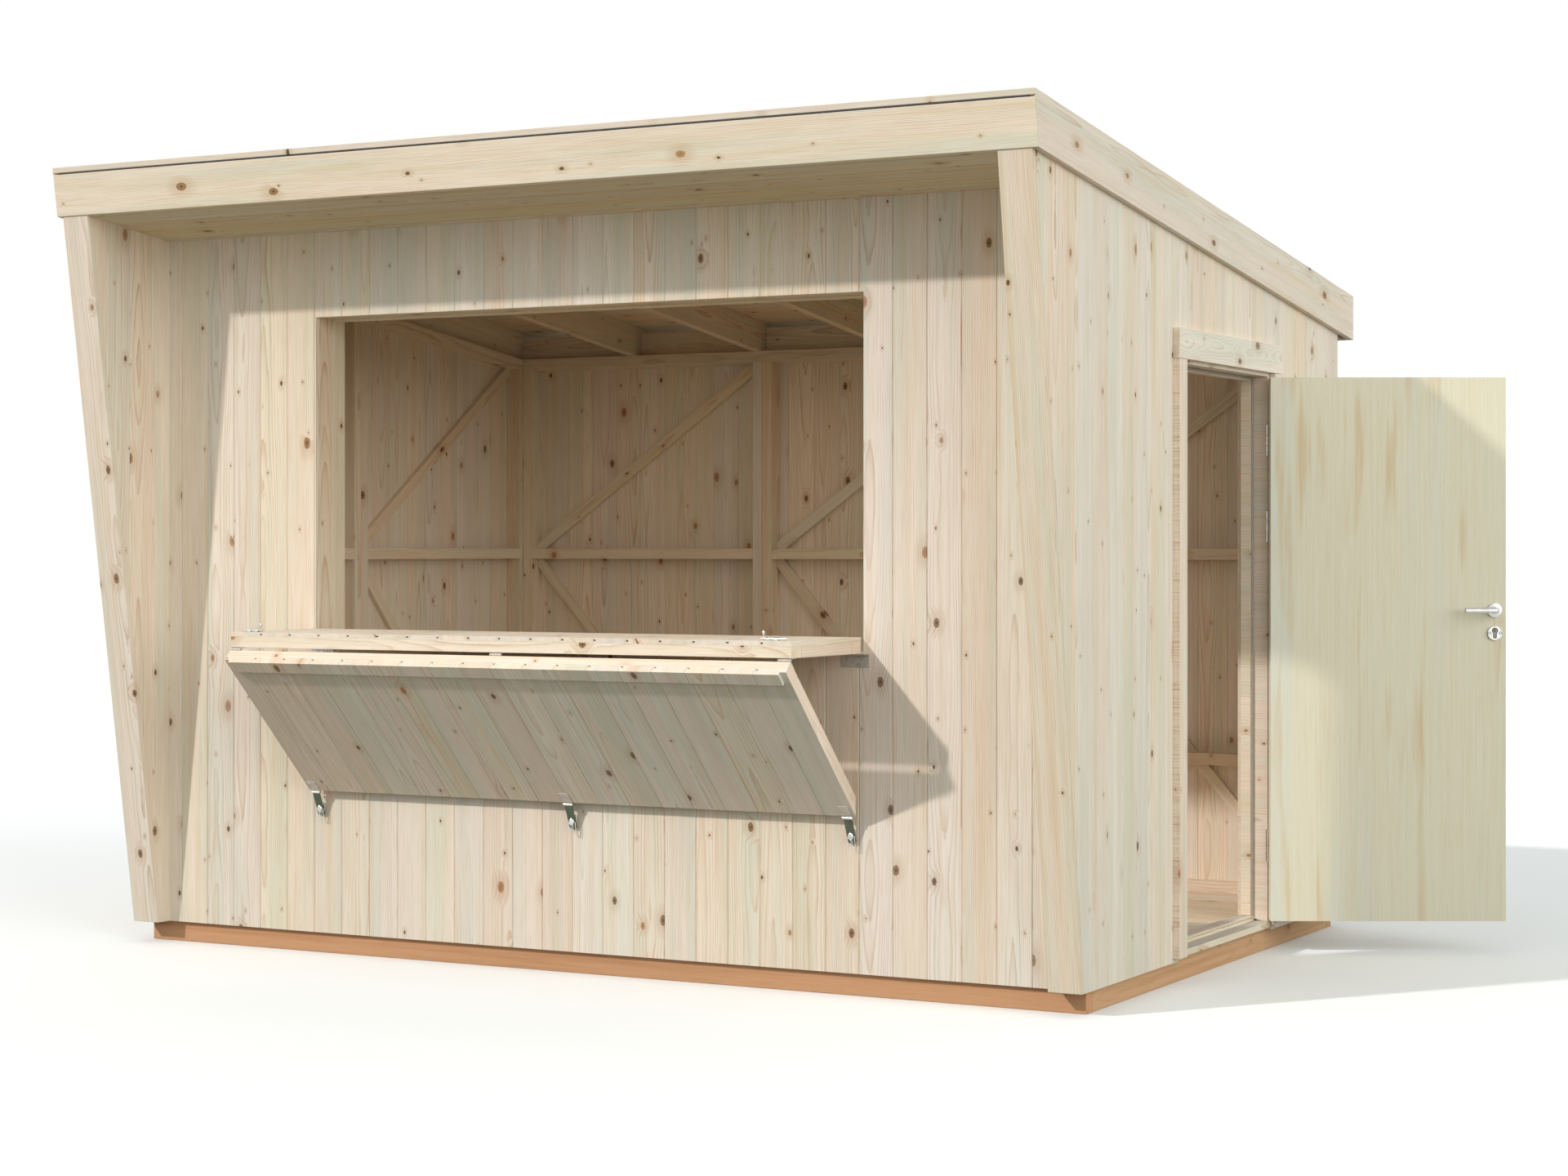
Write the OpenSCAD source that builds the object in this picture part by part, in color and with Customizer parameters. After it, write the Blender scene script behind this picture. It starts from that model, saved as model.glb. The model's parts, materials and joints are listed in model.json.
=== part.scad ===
// Wooden market stall: a boarded timber kiosk with a mono-pitch roof that falls to the back,
// a serving window closed by a folding counter hatch, and an outward-opening side door.
// The origin is the centre of the base's underside. +X is the door side, +Y the back, +Z up.

/* [Base and floor] */
// Width of the base, side to side
base_w = 3300; // [2700:10:4000]
// Depth of the base, front to back
base_d = 2150; // [1800:10:2700]
// Height of the bearers
base_h = 76; // [50:1:120]
// Width of each bearer and joist
bearer_w = 45; // [35:1:90]
// Number of joists between the end bearers
joists = 9; // [5:2:13]
// Thickness of the floor boards
floor_t = 18; // [15:1:19]

/* [Walls] */
// Height of the front wall's outer face, where the soffit meets it
front_h = 2281; // [2050:1:2700]
// Fall of the roof towards the back, in degrees
roof_pitch = 7.1; // [3:0.1:12]
// Thickness of the boarding
board_t = 18; // [14:1:28]
// Width of a stud, plate, rail or brace
stud_w = 40; // [30:1:60]
// Depth of a stud or plate
stud_d = 64; // [50:1:100]
// Thickness of a brace
brace_t = 20; // [12:1:24]
// Width of the back wall's middle element, between its pairs of studs
mid_element = 1040; // [800:10:1400]
// How far the boarding laps down over the base
lap = 11; // [0:1:30]
// Height of the middle rails' centre line
mid_rail_z = 1262; // [1100:1:1400]
// Height of the lower rails' centre line
low_rail_z = 556; // [400:1:750]

/* [Wings] */
// How far the foot of each wing stands in front of the front wall
wing_foot = 58; // [30:1:150]
// Lean of the wings' front edge, in degrees
wing_lean = 8.4; // [2:0.1:14]
// Thickness of the front trims
trim_t = 20; // [14:1:30]

/* [Window and hatch] */
// Width of the serving window
window_w = 1946; // [1500:2:2300]
// Height of the window's sill
window_z = 980; // [850:1:1100]
// Height of the window opening
window_h = 1033; // [900:1:1150]
// How far the inner frame steps into the opening
window_step = 6; // [3:1:12]
// Depth of the window's inner frame
window_frame_d = 62; // [30:1:90]
// Width of the window's inner frame
window_frame_w = 60; // [30:1:90]
// Gap between the counter and the wall, and at each end of the window
hatch_gap = 5; // [3:1:10]
// Depth of the counter, front to back
counter_d = 420; // [300:1:450]
// Thickness of the hatch boards
hatch_board_t = 14; // [10:1:18]
// Thickness of the counter's frame
counter_frame_t = 33; // [20:1:45]
// Thickness of the flap's frame
flap_frame_t = 26; // [18:1:40]
// Width of the hatch frames' rails
hatch_rail_w = 60; // [40:1:90]
// Length of the flap's outer face
flap_len = 596; // [450:1:620]
// Slope of the flap below the counter, in degrees
flap_slope = 45.5; // [30:0.5:60]
// Thickness of the flap's cover strip
strip_t = 10; // [6:1:25]
// Width of the flap's cover strip
strip_w = 43; // [30:1:60]
// How far the cover strip stops short of each end
strip_short = 20; // [5:1:80]

/* [Roof] */
// Height of the rafters, measured upright
rafter_h = 112; // [90:1:160]
// Thickness of the rafters
rafter_t = 36; // [30:1:60]
// Spacing of the rafters
rafter_pitch = 545; // [450:1:600]
// Height of the blocking between the rafters
blocking_h = 96; // [60:1:110]
// Thickness of the roof deck
deck_t = 18; // [14:1:25]
// Thickness of the roofing felt
felt_t = 3; // [2:1:6]
// Thickness of the soffit boards
soffit_t = 18; // [12:1:24]
// Height of the strip over the front fascia, which the side fascias reach too
drip_h = 17; // [10:1:40]
// Thickness of the fascias
fascia_t = 20; // [15:1:30]
// How far the front fascia stands in front of the trims
fascia_proud = 4; // [1:1:10]
// Overhang of the roof behind the back wall
back_overhang = 111; // [60:1:250]

/* [Door] */
// Width of the door leaf
leaf_w = 744; // [650:1:800]
// Height of the door leaf
leaf_h = 1721; // [1600:1:1780]
// Thickness of the door leaf
leaf_t = 40; // [30:1:45]
// Height of the leaf's lower edge above the ground
leaf_z = 101; // [101:1:115]
// Clearance between the leaf and its frame
leaf_gap = 5; // [5:1:8]
// Centre of the doorway, measured from the middle of the base
door_y = -4; // [-150:1:150]
// Angle at which the open door meets its casing
door_angle = 118.4; // [90:0.1:118.4]
// Thickness of the door frame
door_frame_t = 32; // [24:1:45]
// Depth of the door frame, through the wall
door_frame_d = 100; // [90:1:120]
// How far the door stops stand into the doorway
stop_w = 12; // [8:1:20]
// Width of the door stops, through the wall
stop_d = 33; // [20:1:50]
// Thickness of the rubber seal between the stops and the leaf
seal_t = 8; // [4:1:10]
// Width of the casing at each side of the door
casing_w = 64; // [50:1:90]
// Width of the casing over the door
head_casing_w = 90; // [60:1:120]
// Thickness of the casing
casing_t = 22; // [14:1:25]
// Height of the lever handle above the ground
lever_z = 1085; // [1000:1:1200]
// Distance of the lever's spindle from the leaf's free edge
lever_inset = 36; // [30:1:70]
// Distance of the lock's escutcheon below the spindle
lock_drop = 72; // [65:1:92]

/* [Hidden] */

spruce = "#E8D8BC";
treated = "#C8956A";
plywood = "#DDD0A8";
steel = "#C4C6C8";
felt_grey = "#4A4C4E";

joint = 1;          // open butt joint between neighbouring timbers
fit = 0.05;         // keeps faces that slope clear of each other
big = 6000;         // larger than the whole stall

// Base, floor and wall planes
floor_z = base_h + floor_t;
clad_z = base_h - lap;
frame_x = base_w / 2;                   // outer face of the side frames
frame_y = base_d / 2;                   // outer face of the end frames
wall_x = frame_x + board_t;             // outer face of the side walls
wall_y = frame_y + board_t;             // outer face of the end walls
inner_x = frame_x - stud_d;             // inner face of the side frames
inner_y = frame_y - stud_d;             // inner face of the end frames
wing_x = inner_x - board_t;             // inner face of the wings
plate_z = floor_z + stud_w;             // top of the bottom plates
rail_d = stud_d - brace_t;              // rails stand inside the braces
mid_y = (inner_y - frame_y) / 2;        // middle studs of the side walls

// The roof's underside, and the leaning front plane of trims and fascia
slope = tan(roof_pitch);
lean = tan(wing_lean);
foot_y = -wall_y - wing_foot;
function under(y) = front_h - (y + wall_y) * slope;
function front_at(z, back = 0) = foot_y + back / cos(wing_lean) - (z - clad_z) * lean;
function corner_z(up, back) =
    (front_h + up - (front_at(0, back) + wall_y) * slope) / (1 - lean * slope);
function corner(up, back) = [front_at(corner_z(up, back), back), corner_z(up, back)];
function roof_point(y, up) = [y, under(y) + up];

fascia_back = fascia_t - fascia_proud;  // back face of the front fascia
fascia_x = wall_x + fascia_t;
eave_y = wall_y + back_overhang;        // back end of the roof
deck_top = rafter_h + deck_t;
felt_top = deck_top + felt_t;
fascia_h = felt_top + drip_h;           // height of the side fascias, measured upright
felt_gap = 2;                           // shadow gap under the felt's front edge

// Window and hatch
window_x = window_w / 2;
window_top = window_z + window_h;
hatch_x = window_x - hatch_gap;
counter_t = counter_frame_t + hatch_board_t;
counter_back = -wall_y - hatch_gap;
counter_front = counter_back - counter_d;
fold_y = counter_front;                 // fold axis, below the counter's outer edge
fold_z = window_z - 6;
flap_off = 4;                           // from the fold axis to the flap's inner face

// Door: the leaf turns about its outer face's edge, between the frame's rebates
hinge_r = 4;
hinge_gap = 4.5;                        // from the hinge axis to the leaf and to the frame
free_gap = leaf_gap + 2;                // room at the free edge, for the turning inner corner
rebate = (leaf_w + free_gap) / 2 + hinge_gap;   // half the width between the rebates
hinge_x = wall_x;                       // hinge axis, flush with the frame's outer face
hinge_y = door_y + rebate - hinge_gap;
leaf_x1 = wall_x;                       // outer face of the closed leaf
leaf_y1 = hinge_y - hinge_gap;          // hinge edge of the closed leaf
frame_x0 = wall_x - door_frame_d;       // inner face of the door frame
seal_x = leaf_x1 - leaf_t - leaf_gap;   // face of the seal
stop_x = seal_x - seal_t;               // face of the stops
frame_head_z = leaf_z + leaf_h + leaf_gap;
opening_y = rebate + door_frame_t;      // half the width of the hole in the boarding
opening_top = frame_head_z + door_frame_t;
casing_y = rebate + 14;                 // half the width between the casings
casing_z = frame_head_z + 11;
casing_foot = base_h + 2;               // lower end of the casing
sill_z = leaf_z - leaf_gap;             // top of the threshold's outer step
hinge_zs = [leaf_z + 186, leaf_z + 1200, leaf_z + 1474];
hinge_h = 100;

module mirrored() {
    children();
    mirror([1, 0, 0]) children();
}

// A flat shape drawn as (Y, Z), running from x0 to x1
module run_x(x0, x1) {
    translate([x0, 0, 0]) rotate([90, 0, 90]) linear_extrude(x1 - x0) children();
}

// A flat shape drawn as (X, Z), running from y0 to y1
module run_y(y0, y1) {
    translate([0, y1, 0]) rotate([90, 0, 0]) linear_extrude(y1 - y0) children();
}

module block(x0, x1, y0, y1, z0, z1) {
    translate([x0, y0, z0]) cube([x1 - x0, y1 - y0, z1 - z0]);
}

// An upright whose top follows the roof, "drop" below its underside
module post(x0, x1, y0, y1, z0, drop) {
    run_x(x0, x1)
        polygon([[y0, z0], [y1, z0], roof_point(y1, -drop - fit), roof_point(y0, -drop - fit)]);
}

// ---- Base and floor ----
module base_frame() {
    pitch = (base_w - bearer_w) / (joists + 1);
    color(treated) {
        for (y = [-frame_y, frame_y - bearer_w])
            block(-frame_x, frame_x, y, y + bearer_w, 0, base_h);
        for (i = [0 : joists + 1])
            translate([-frame_x + i * pitch, -frame_y + bearer_w + joint, 0])
                cube([bearer_w, base_d - 2 * (bearer_w + joint), base_h]);
    }
}

module floor_boards() {
    color(spruce) block(-frame_x, frame_x, -frame_y, frame_y, base_h, floor_z);
}

// ---- Wall framing ----
module wall_plates() {
    wing_end = ceil(front_at(floor_z, trim_t));
    color(spruce) {
        // Bottom plates, broken at the doorway
        for (y = [-frame_y, inner_y])
            block(-inner_x + joint, inner_x - joint, y, y + stud_d, floor_z, plate_z);
        block(-frame_x, -inner_x, wing_end, frame_y, floor_z, plate_z);
        block(inner_x, frame_x, wing_end, door_y - opening_y, floor_z, plate_z);
        block(inner_x, frame_x, door_y + opening_y, frame_y, floor_z, plate_z);
        // Top plates, planed to the roof's fall
        for (y = [-frame_y, inner_y])
            run_x(-inner_x + joint, inner_x - joint)
                polygon([roof_point(y, -stud_w), roof_point(y + stud_d, -stud_w),
                         roof_point(y + stud_d, -fit), roof_point(y, -fit)]);
        mirrored() run_x(inner_x, frame_x)
            polygon([corner(-stud_w, trim_t + fit), roof_point(frame_y, -stud_w),
                     roof_point(frame_y, -fit), corner(-fit, trim_t + fit)]);
    }
}

front_stud_x = inner_x - joint - stud_w;                // outermost front studs
sill_studs = [-window_x / 2, 0, window_x / 2];          // short studs below the window
half_joint = joint / 2;
back_studs = [-inner_x + joint, -mid_element / 2 - half_joint - stud_w,
              -mid_element / 2 + half_joint, mid_element / 2 - half_joint - stud_w,
              mid_element / 2 + half_joint, front_stud_x];
corner_stud = inner_y - stud_w / 2;                     // rear studs of the side walls
left_studs = [-frame_y, mid_y - half_joint - stud_w, mid_y + half_joint, corner_stud];
right_studs = [-frame_y, door_y - opening_y - stud_w, door_y + opening_y, corner_stud];

module wall_studs() {
    color(spruce) {
        for (x = back_studs)
            post(x, x + stud_w, inner_y, frame_y, plate_z, stud_w);
        mirrored() {
            post(front_stud_x, front_stud_x + stud_w, -frame_y, -inner_y, plate_z, stud_w);
            post(window_x, window_x + stud_w, -frame_y, -inner_y, plate_z, stud_w);
            wing_stud();
        }
        for (x = sill_studs)
            block(x - stud_w / 2, x + stud_w / 2, -frame_y, -inner_y, plate_z, window_z - stud_w);
        for (y = left_studs)
            post(-frame_x, -inner_x, y, y + stud_w, plate_z, stud_w);
        for (y = right_studs)
            post(inner_x, frame_x, y, y + stud_w, plate_z, stud_w);
    }
}

// The leaning stud inside each wing, right behind its trim
module wing_stud() {
    front = trim_t + fit;
    back = front + stud_w;
    run_x(inner_x, frame_x)
        polygon([[front_at(plate_z, front), plate_z], [front_at(plate_z, back), plate_z],
                 corner(-stud_w - fit, back), corner(-stud_w - fit, front)]);
}

// Bays between studs, each as [near edge, far edge], seen from inside with the near edge left
back_bays = [[back_studs[0] + stud_w, back_studs[1]], [back_studs[2] + stud_w, back_studs[3]],
             [back_studs[4] + stud_w, back_studs[5]]];
left_bays = [[left_studs[0] + stud_w, left_studs[1]], [left_studs[2] + stud_w, left_studs[3]]];
right_bays = [[right_studs[0] + stud_w, right_studs[1]],
              [right_studs[2] + stud_w, right_studs[3]]];

module wall_rails() {
    half = stud_w / 2;
    sill_edges = [-window_x, for (x = sill_studs) each [x - half, x + half], window_x];
    color(spruce) {
        for (z = [mid_rail_z, low_rail_z]) {
            for (bay = back_bays)
                block(bay[0], bay[1], inner_y, inner_y + rail_d, z - half, z + half);
            for (bay = left_bays)
                block(-inner_x - rail_d, -inner_x, bay[0], bay[1], z - half, z + half);
            for (bay = right_bays)
                block(inner_x, inner_x + rail_d, bay[0], bay[1], z - half, z + half);
            mirrored()
                block(window_x + stud_w, front_stud_x, -inner_y - rail_d, -inner_y,
                      z - half, z + half);
        }
        for (i = [0 : 2 : len(sill_edges) - 2])
            block(sill_edges[i], sill_edges[i + 1], -inner_y - rail_d, -inner_y,
                  low_rail_z - half, low_rail_z + half);
        // Rails at the window's sill and head, and over the doorway
        block(-window_x, window_x, -frame_y, -inner_y, window_z - stud_w, window_z);
        block(-window_x, window_x, -frame_y, -inner_y, window_top, window_top + stud_w);
        block(inner_x, frame_x, door_y - opening_y, door_y + opening_y,
              opening_top, opening_top + stud_w);
    }
}

// Two braces of one bay, from its near edge at the middle rail to its far corners.
// near and far are the bay's edges, top_near and top_far the plate's underside there.
module brace_pair(near, far, top_near, top_far) {
    lo = min(near, far);
    hi = max(near, far);
    rail_top = mid_rail_z + stud_w / 2;
    rail_bottom = mid_rail_z - stud_w / 2;
    brace_bar([near, rail_top], [far, top_far],
              [[near, rail_top], [far, rail_top], [far, top_far], [near, top_near]]);
    brace_bar([near, rail_bottom], [far, plate_z],
              [[near, rail_bottom], [far, rail_bottom], [far, plate_z], [near, plate_z]]);
}

// A straight bar between two corners, trimmed to the bay it stands in
module brace_bar(from, to, bay) {
    run = to - from;
    reach = norm(run);
    intersection() {
        polygon(bay);
        translate(from) rotate(atan2(run[1], run[0]))
            translate([-stud_w, -stud_w / 2]) square([reach + 2 * stud_w, stud_w]);
    }
}

module wall_braces() {
    drop = stud_w + fit;
    back_top = under(frame_y) - drop;
    color(spruce) {
        for (bay = back_bays)
            run_y(frame_y - brace_t, frame_y) brace_pair(bay[0], bay[1], back_top, back_top);
        for (bay = left_bays)
            run_x(-frame_x, -frame_x + brace_t)
                brace_pair(bay[0], bay[1], under(bay[0]) - drop, under(bay[1]) - drop);
        for (bay = right_bays)
            run_x(frame_x - brace_t, frame_x)
                brace_pair(bay[1], bay[0], under(bay[1]) - drop, under(bay[0]) - drop);
    }
}

// ---- Boarding ----
module front_boards(x0, x1, z0) {
    post(x0, x1, -wall_y, -frame_y, z0, 0);
}

module front_wall_left() {
    color(spruce) front_boards(-inner_x, -window_x, clad_z);
}

module front_wall_right() {
    color(spruce) front_boards(window_x, inner_x, clad_z);
}

module front_wall_below() {
    color(spruce) block(-window_x, window_x, -wall_y, -frame_y, clad_z, window_z);
}

module front_wall_above() {
    color(spruce) front_boards(-window_x, window_x, window_top);
}

module back_wall() {
    color(spruce) post(-frame_x, frame_x, frame_y, wall_y, clad_z, 0);
}

// One side wall's outline from the wing's leaning edge back to y1
module side_outline(y1) {
    polygon([[front_at(clad_z, trim_t + fit), clad_z], [y1, clad_z],
             roof_point(y1, rafter_h - fit), corner(rafter_h - fit, trim_t + fit)]);
}

module left_wall() {
    color(spruce) run_x(-wall_x, -frame_x) side_outline(wall_y);
}

module right_wall_front() {
    color(spruce) run_x(frame_x, wall_x) side_outline(door_y - opening_y);
}

module right_wall_rear() {
    color(spruce) post(frame_x, wall_x, door_y + opening_y, wall_y, clad_z, -rafter_h);
}

module right_wall_over_door() {
    color(spruce)
        post(frame_x, wall_x, door_y - opening_y, door_y + opening_y, opening_top, -rafter_h);
}

module wing_linings() {
    color(spruce) mirrored() run_x(wing_x, inner_x)
        polygon([[front_at(clad_z, trim_t + fit), clad_z], [-wall_y, clad_z],
                 roof_point(-wall_y, soffit_t), corner(soffit_t, trim_t + fit)]);
}

module front_trims() {
    color(spruce) mirrored() run_x(wing_x, wall_x)
        polygon([[front_at(clad_z), clad_z], [front_at(clad_z, trim_t), clad_z],
                 corner(-fit, trim_t), corner(-fit, 0)]);
}

// ---- Window and hatch ----
module window_frame() {
    edge = window_x - window_step;
    outer = edge + window_frame_w;
    y1 = -inner_y + window_frame_d;
    color(spruce) {
        mirrored() block(edge, outer, -inner_y, y1, window_z - stud_w, window_top + stud_w);
        block(-edge + joint, edge - joint, -inner_y, y1,
              window_top - window_step, window_top + stud_w);
        block(-edge + joint, edge - joint, -inner_y, y1, window_z - stud_w, window_z);
    }
}

module counter_top() {
    color(spruce) block(-hatch_x, hatch_x, counter_front, counter_back,
                        window_z + counter_frame_t, window_z + counter_t);
}

module counter_frame() {
    color(spruce) {
        for (y = [counter_front, counter_back - hatch_rail_w])
            block(-hatch_x, hatch_x, y, y + hatch_rail_w, window_z, window_z + counter_frame_t);
        for (x = [-hatch_x, -hatch_rail_w / 2, hatch_x - hatch_rail_w])
            block(x, x + hatch_rail_w, counter_front + hatch_rail_w + joint,
                  counter_back - hatch_rail_w - joint, window_z, window_z + counter_frame_t);
    }
}

// Children are drawn as (down the slope, out of the outer face) from the fold axis
module on_flap(x0, x1) {
    run_x(x0, x1) translate([fold_y, fold_z]) rotate(-flap_slope) mirror([0, 1]) children();
}

flap_split = flap_off + flap_frame_t;   // between the flap's frame and its boards
flap_face = flap_split + hatch_board_t; // outer face of the flap

// How far down the slope the upright lower end reaches, at a depth below the fold plane
function flap_end(depth) = flap_len - (flap_face - depth) * tan(flap_slope);

module flap_boards() {
    color(spruce) on_flap(-hatch_x, hatch_x)
        polygon([[0, flap_split], [flap_end(flap_split), flap_split],
                 [flap_end(flap_face), flap_face], [0, flap_face]]);
}

module flap_frame() {
    lower = flap_end(flap_off) - hatch_rail_w;
    color(spruce) {
        on_flap(-hatch_x, hatch_x)
            polygon([[0, flap_off], [hatch_rail_w, flap_off],
                     [hatch_rail_w, flap_split], [0, flap_split]]);
        on_flap(-hatch_x, hatch_x)
            polygon([[lower, flap_off], [flap_end(flap_off), flap_off],
                     [flap_end(flap_split), flap_split], [lower, flap_split]]);
        for (x = [-hatch_x, -hatch_rail_w / 2, hatch_x - hatch_rail_w])
            on_flap(x, x + hatch_rail_w)
                translate([hatch_rail_w + joint, flap_off])
                    square([lower - hatch_rail_w - 2 * joint, flap_frame_t]);
    }
}

module flap_cover_strip() {
    color(spruce) on_flap(-hatch_x + strip_short, hatch_x - strip_short)
        translate([0, flap_face]) square([strip_w, strip_t]);
}

// Hardware on the hatch
hatch_hinge_x = [-window_x + 26, 0, window_x - 26];
counter_hinge_w = 92;
fold_hinge_w = 40;
knuckle_r = 3.5;

module hatch_hinges() {
    color(steel) {
        for (x = hatch_hinge_x) {
            y = -wall_y - knuckle_r;
            block(x - counter_hinge_w / 2, x + counter_hinge_w / 2,
                  -wall_y - 2, -wall_y, window_z - 40, window_z - 6);
            block(x - counter_hinge_w / 2, x + counter_hinge_w / 2,
                  y - 30, y, window_z - 2, window_z);
            translate([x - counter_hinge_w / 2, y, window_z - knuckle_r]) rotate([0, 90, 0])
                cylinder(r = knuckle_r, h = counter_hinge_w, $fn = 32);
        }
        for (x = [-hatch_x + fold_hinge_w / 2, 0, hatch_x - fold_hinge_w / 2]) {
            x0 = x - fold_hinge_w / 2;
            block(x0, x0 + fold_hinge_w, fold_y, fold_y + 30, fold_z + flap_off - 1, window_z);
            on_flap(x0, x0 + fold_hinge_w) translate([0, flap_off - 2]) square([30, 2]);
            translate([x0, fold_y, fold_z]) rotate([0, 90, 0])
                cylinder(r = flap_off, h = fold_hinge_w, $fn = 32);
        }
    }
}

hasp_x = [-hatch_x + 26, 0, hatch_x - 26];
hasp_w = 32;
strap_l = 84;
strap_w = 27;
strap_t = 2.5;
hasp_y = fold_y + flap_len * cos(flap_slope) - flap_face * sin(flap_slope);
hasp_z = fold_z - flap_len * sin(flap_slope) - flap_face * cos(flap_slope) - knuckle_r - 1.5;
strap_lean = asin((-wall_y - 7 - hasp_y) / strap_l);

module flap_hasps() {
    color(steel) for (x = hasp_x) {
        on_flap(x - hasp_w / 2, x + hasp_w / 2)
            translate([flap_len - 44, flap_face]) square([44, 2]);
        translate([x - hasp_w / 2, hasp_y, hasp_z]) rotate([0, 90, 0])
            cylinder(r = knuckle_r + 1, h = hasp_w, $fn = 32);
        translate([x, hasp_y, hasp_z]) rotate([strap_lean, 0, 0]) difference() {
            translate([-strap_w / 2, -strap_t / 2, -strap_l]) cube([strap_w, strap_t, strap_l]);
            translate([0, 10, -strap_l + 26]) rotate([90, 0, 0]) {
                translate([0, 9, 0]) cylinder(r = 5.5, h = 20, $fn = 32);
                translate([0, -9, 0]) cylinder(r = 5.5, h = 20, $fn = 32);
                translate([-5.5, -9, 0]) cube([11, 18, 20]);
            }
        }
    }
}

staple_z = hasp_z - (strap_l - 26) * cos(strap_lean);

module hasp_staples() {
    color(steel) for (x = hasp_x)
        translate([x, -wall_y, staple_z]) {
            translate([-5, -2, -20]) cube([10, 2, 40]);
            rotate([90, 0, 0]) translate([0, 0, 2]) cylinder(r = 4, h = 24, $fn = 32);
        }
}

bolt_inset_x = 40;
bolt_inset_y = 22;

module barrel_bolts() {
    z = window_z + counter_t;
    color(steel) mirrored()
        translate([hatch_x - bolt_inset_x - 60, counter_front + bolt_inset_y, z]) {
            translate([10, -12, 0]) cube([40, 24, 1.5]);
            translate([10, -8, 1.5]) cube([12, 16, 8]);
            translate([38, -8, 1.5]) cube([12, 16, 8]);
            translate([-5, 0, 6]) rotate([0, 90, 0]) cylinder(r = 3.5, h = 80, $fn = 32);
            translate([2, 0, 6]) cylinder(r = 2.5, h = 22, $fn = 32);
        }
}

// ---- Roof ----
inner_rafters = [for (i = [-2 : 2]) i * rafter_pitch];
outer_rafter_x = frame_x - rafter_t;
rafter_end = eave_y - fascia_t;
rafter_top = rafter_h - fit;
roof_front = fascia_back + fit;         // front ends of the rafters, deck and soffit

module rafters() {
    color(spruce) {
        for (x = inner_rafters)
            run_x(x - rafter_t / 2, x + rafter_t / 2)
                polygon([corner(soffit_t, roof_front), roof_point(-wall_y, soffit_t),
                         roof_point(-wall_y, 0), roof_point(rafter_end, 0),
                         roof_point(rafter_end, rafter_top), corner(rafter_top, roof_front)]);
        mirrored() run_x(outer_rafter_x, frame_x)
            polygon([corner(0, trim_t), roof_point(rafter_end, 0),
                     roof_point(rafter_end, rafter_top), corner(rafter_top, trim_t)]);
    }
}

module eaves_blocking() {
    edges = [-outer_rafter_x, for (x = inner_rafters) each [x - rafter_t / 2, x + rafter_t / 2],
             outer_rafter_x];
    color(spruce) for (y = [-frame_y, frame_y - board_t])
        for (i = [0 : 2 : len(edges) - 2])
            run_x(edges[i], edges[i + 1])
                polygon([roof_point(y, 0), roof_point(y + board_t, 0),
                         roof_point(y + board_t, blocking_h), roof_point(y, blocking_h)]);
}

module roof_deck() {
    color(spruce) run_x(-wall_x, wall_x)
        polygon([corner(rafter_h, roof_front), roof_point(rafter_end, rafter_h),
                 roof_point(rafter_end, deck_top - fit), corner(deck_top - fit, roof_front)]);
}

module roof_felt() {
    color(felt_grey) run_x(-wall_x, wall_x)
        polygon([corner(deck_top, -fascia_proud + 2), roof_point(eave_y, deck_top),
                 roof_point(eave_y, felt_top - fit), corner(felt_top - fit, -fascia_proud + 2)]);
}

module soffit_boards() {
    color(spruce) run_x(-wing_x, wing_x)
        polygon([corner(0, roof_front), roof_point(-wall_y, 0),
                 roof_point(-wall_y, soffit_t - fit), corner(soffit_t - fit, roof_front)]);
}

// Everything in front of the mitre at the roof's right front corner
module mitre_side() {
    at = corner(0, -fascia_proud);
    translate([fascia_x, at[0], at[1]]) rotate([wing_lean, 0, 0]) rotate([0, 0, 45])
        translate([-2 * big, -big, -big]) cube([2 * big, 2 * big, 2 * big]);
}

// A board along the front edge, mitred at both ends, between two heights above the soffit
module front_board(low, high, back) {
    intersection() {
        run_x(-fascia_x, fascia_x)
            polygon([corner(low, -fascia_proud), corner(low, back),
                     corner(high, back), corner(high, -fascia_proud)]);
        mitre_side();
        mirror([1, 0, 0]) mitre_side();
    }
}

module front_fascia() {
    color(spruce) front_board(0, deck_top - felt_gap, fascia_back);
}

module drip_strip() {
    color(spruce) front_board(felt_top, fascia_h, fascia_back);
}

module side_fascias() {
    color(spruce) mirrored() difference() {
        run_x(wall_x, fascia_x)
            polygon([corner(0, -fascia_proud), roof_point(eave_y, 0),
                     roof_point(eave_y, fascia_h), corner(fascia_h, -fascia_proud)]);
        mitre_side();
    }
}

module back_fascia() {
    color(spruce) post(-wall_x, wall_x, rafter_end, eave_y, under(eave_y), -deck_top);
}

// ---- Door ----
module door_casing() {
    outer = casing_y + casing_w;
    color(spruce) {
        for (side = [-1, 1])
            block(wall_x, wall_x + casing_t,
                  door_y + min(side * casing_y, side * outer),
                  door_y + max(side * casing_y, side * outer), casing_foot, casing_z - joint);
        block(wall_x, wall_x + casing_t, door_y - outer, door_y + outer,
              casing_z, casing_z + head_casing_w);
    }
}

module door_frame() {
    color(spruce) {
        for (side = [-1, 1])
            block(frame_x0, wall_x,
                  door_y + min(side * rebate, side * opening_y),
                  door_y + max(side * rebate, side * opening_y), floor_z, opening_top);
        block(frame_x0, wall_x, door_y - rebate + joint, door_y + rebate - joint,
              frame_head_z, opening_top);
    }
}

threshold_top = sill_z + 14;            // top of the threshold's inner step

module door_stops() {
    x0 = stop_x - stop_d;
    edge = rebate - stop_w;
    color(spruce) {
        for (side = [-1, 1])
            block(x0, stop_x, door_y + min(side * rebate, side * edge),
                  door_y + max(side * rebate, side * edge), threshold_top + joint, frame_head_z);
        block(x0, stop_x, door_y - edge + joint, door_y + edge - joint,
              frame_head_z - stop_w, frame_head_z);
    }
}

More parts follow.
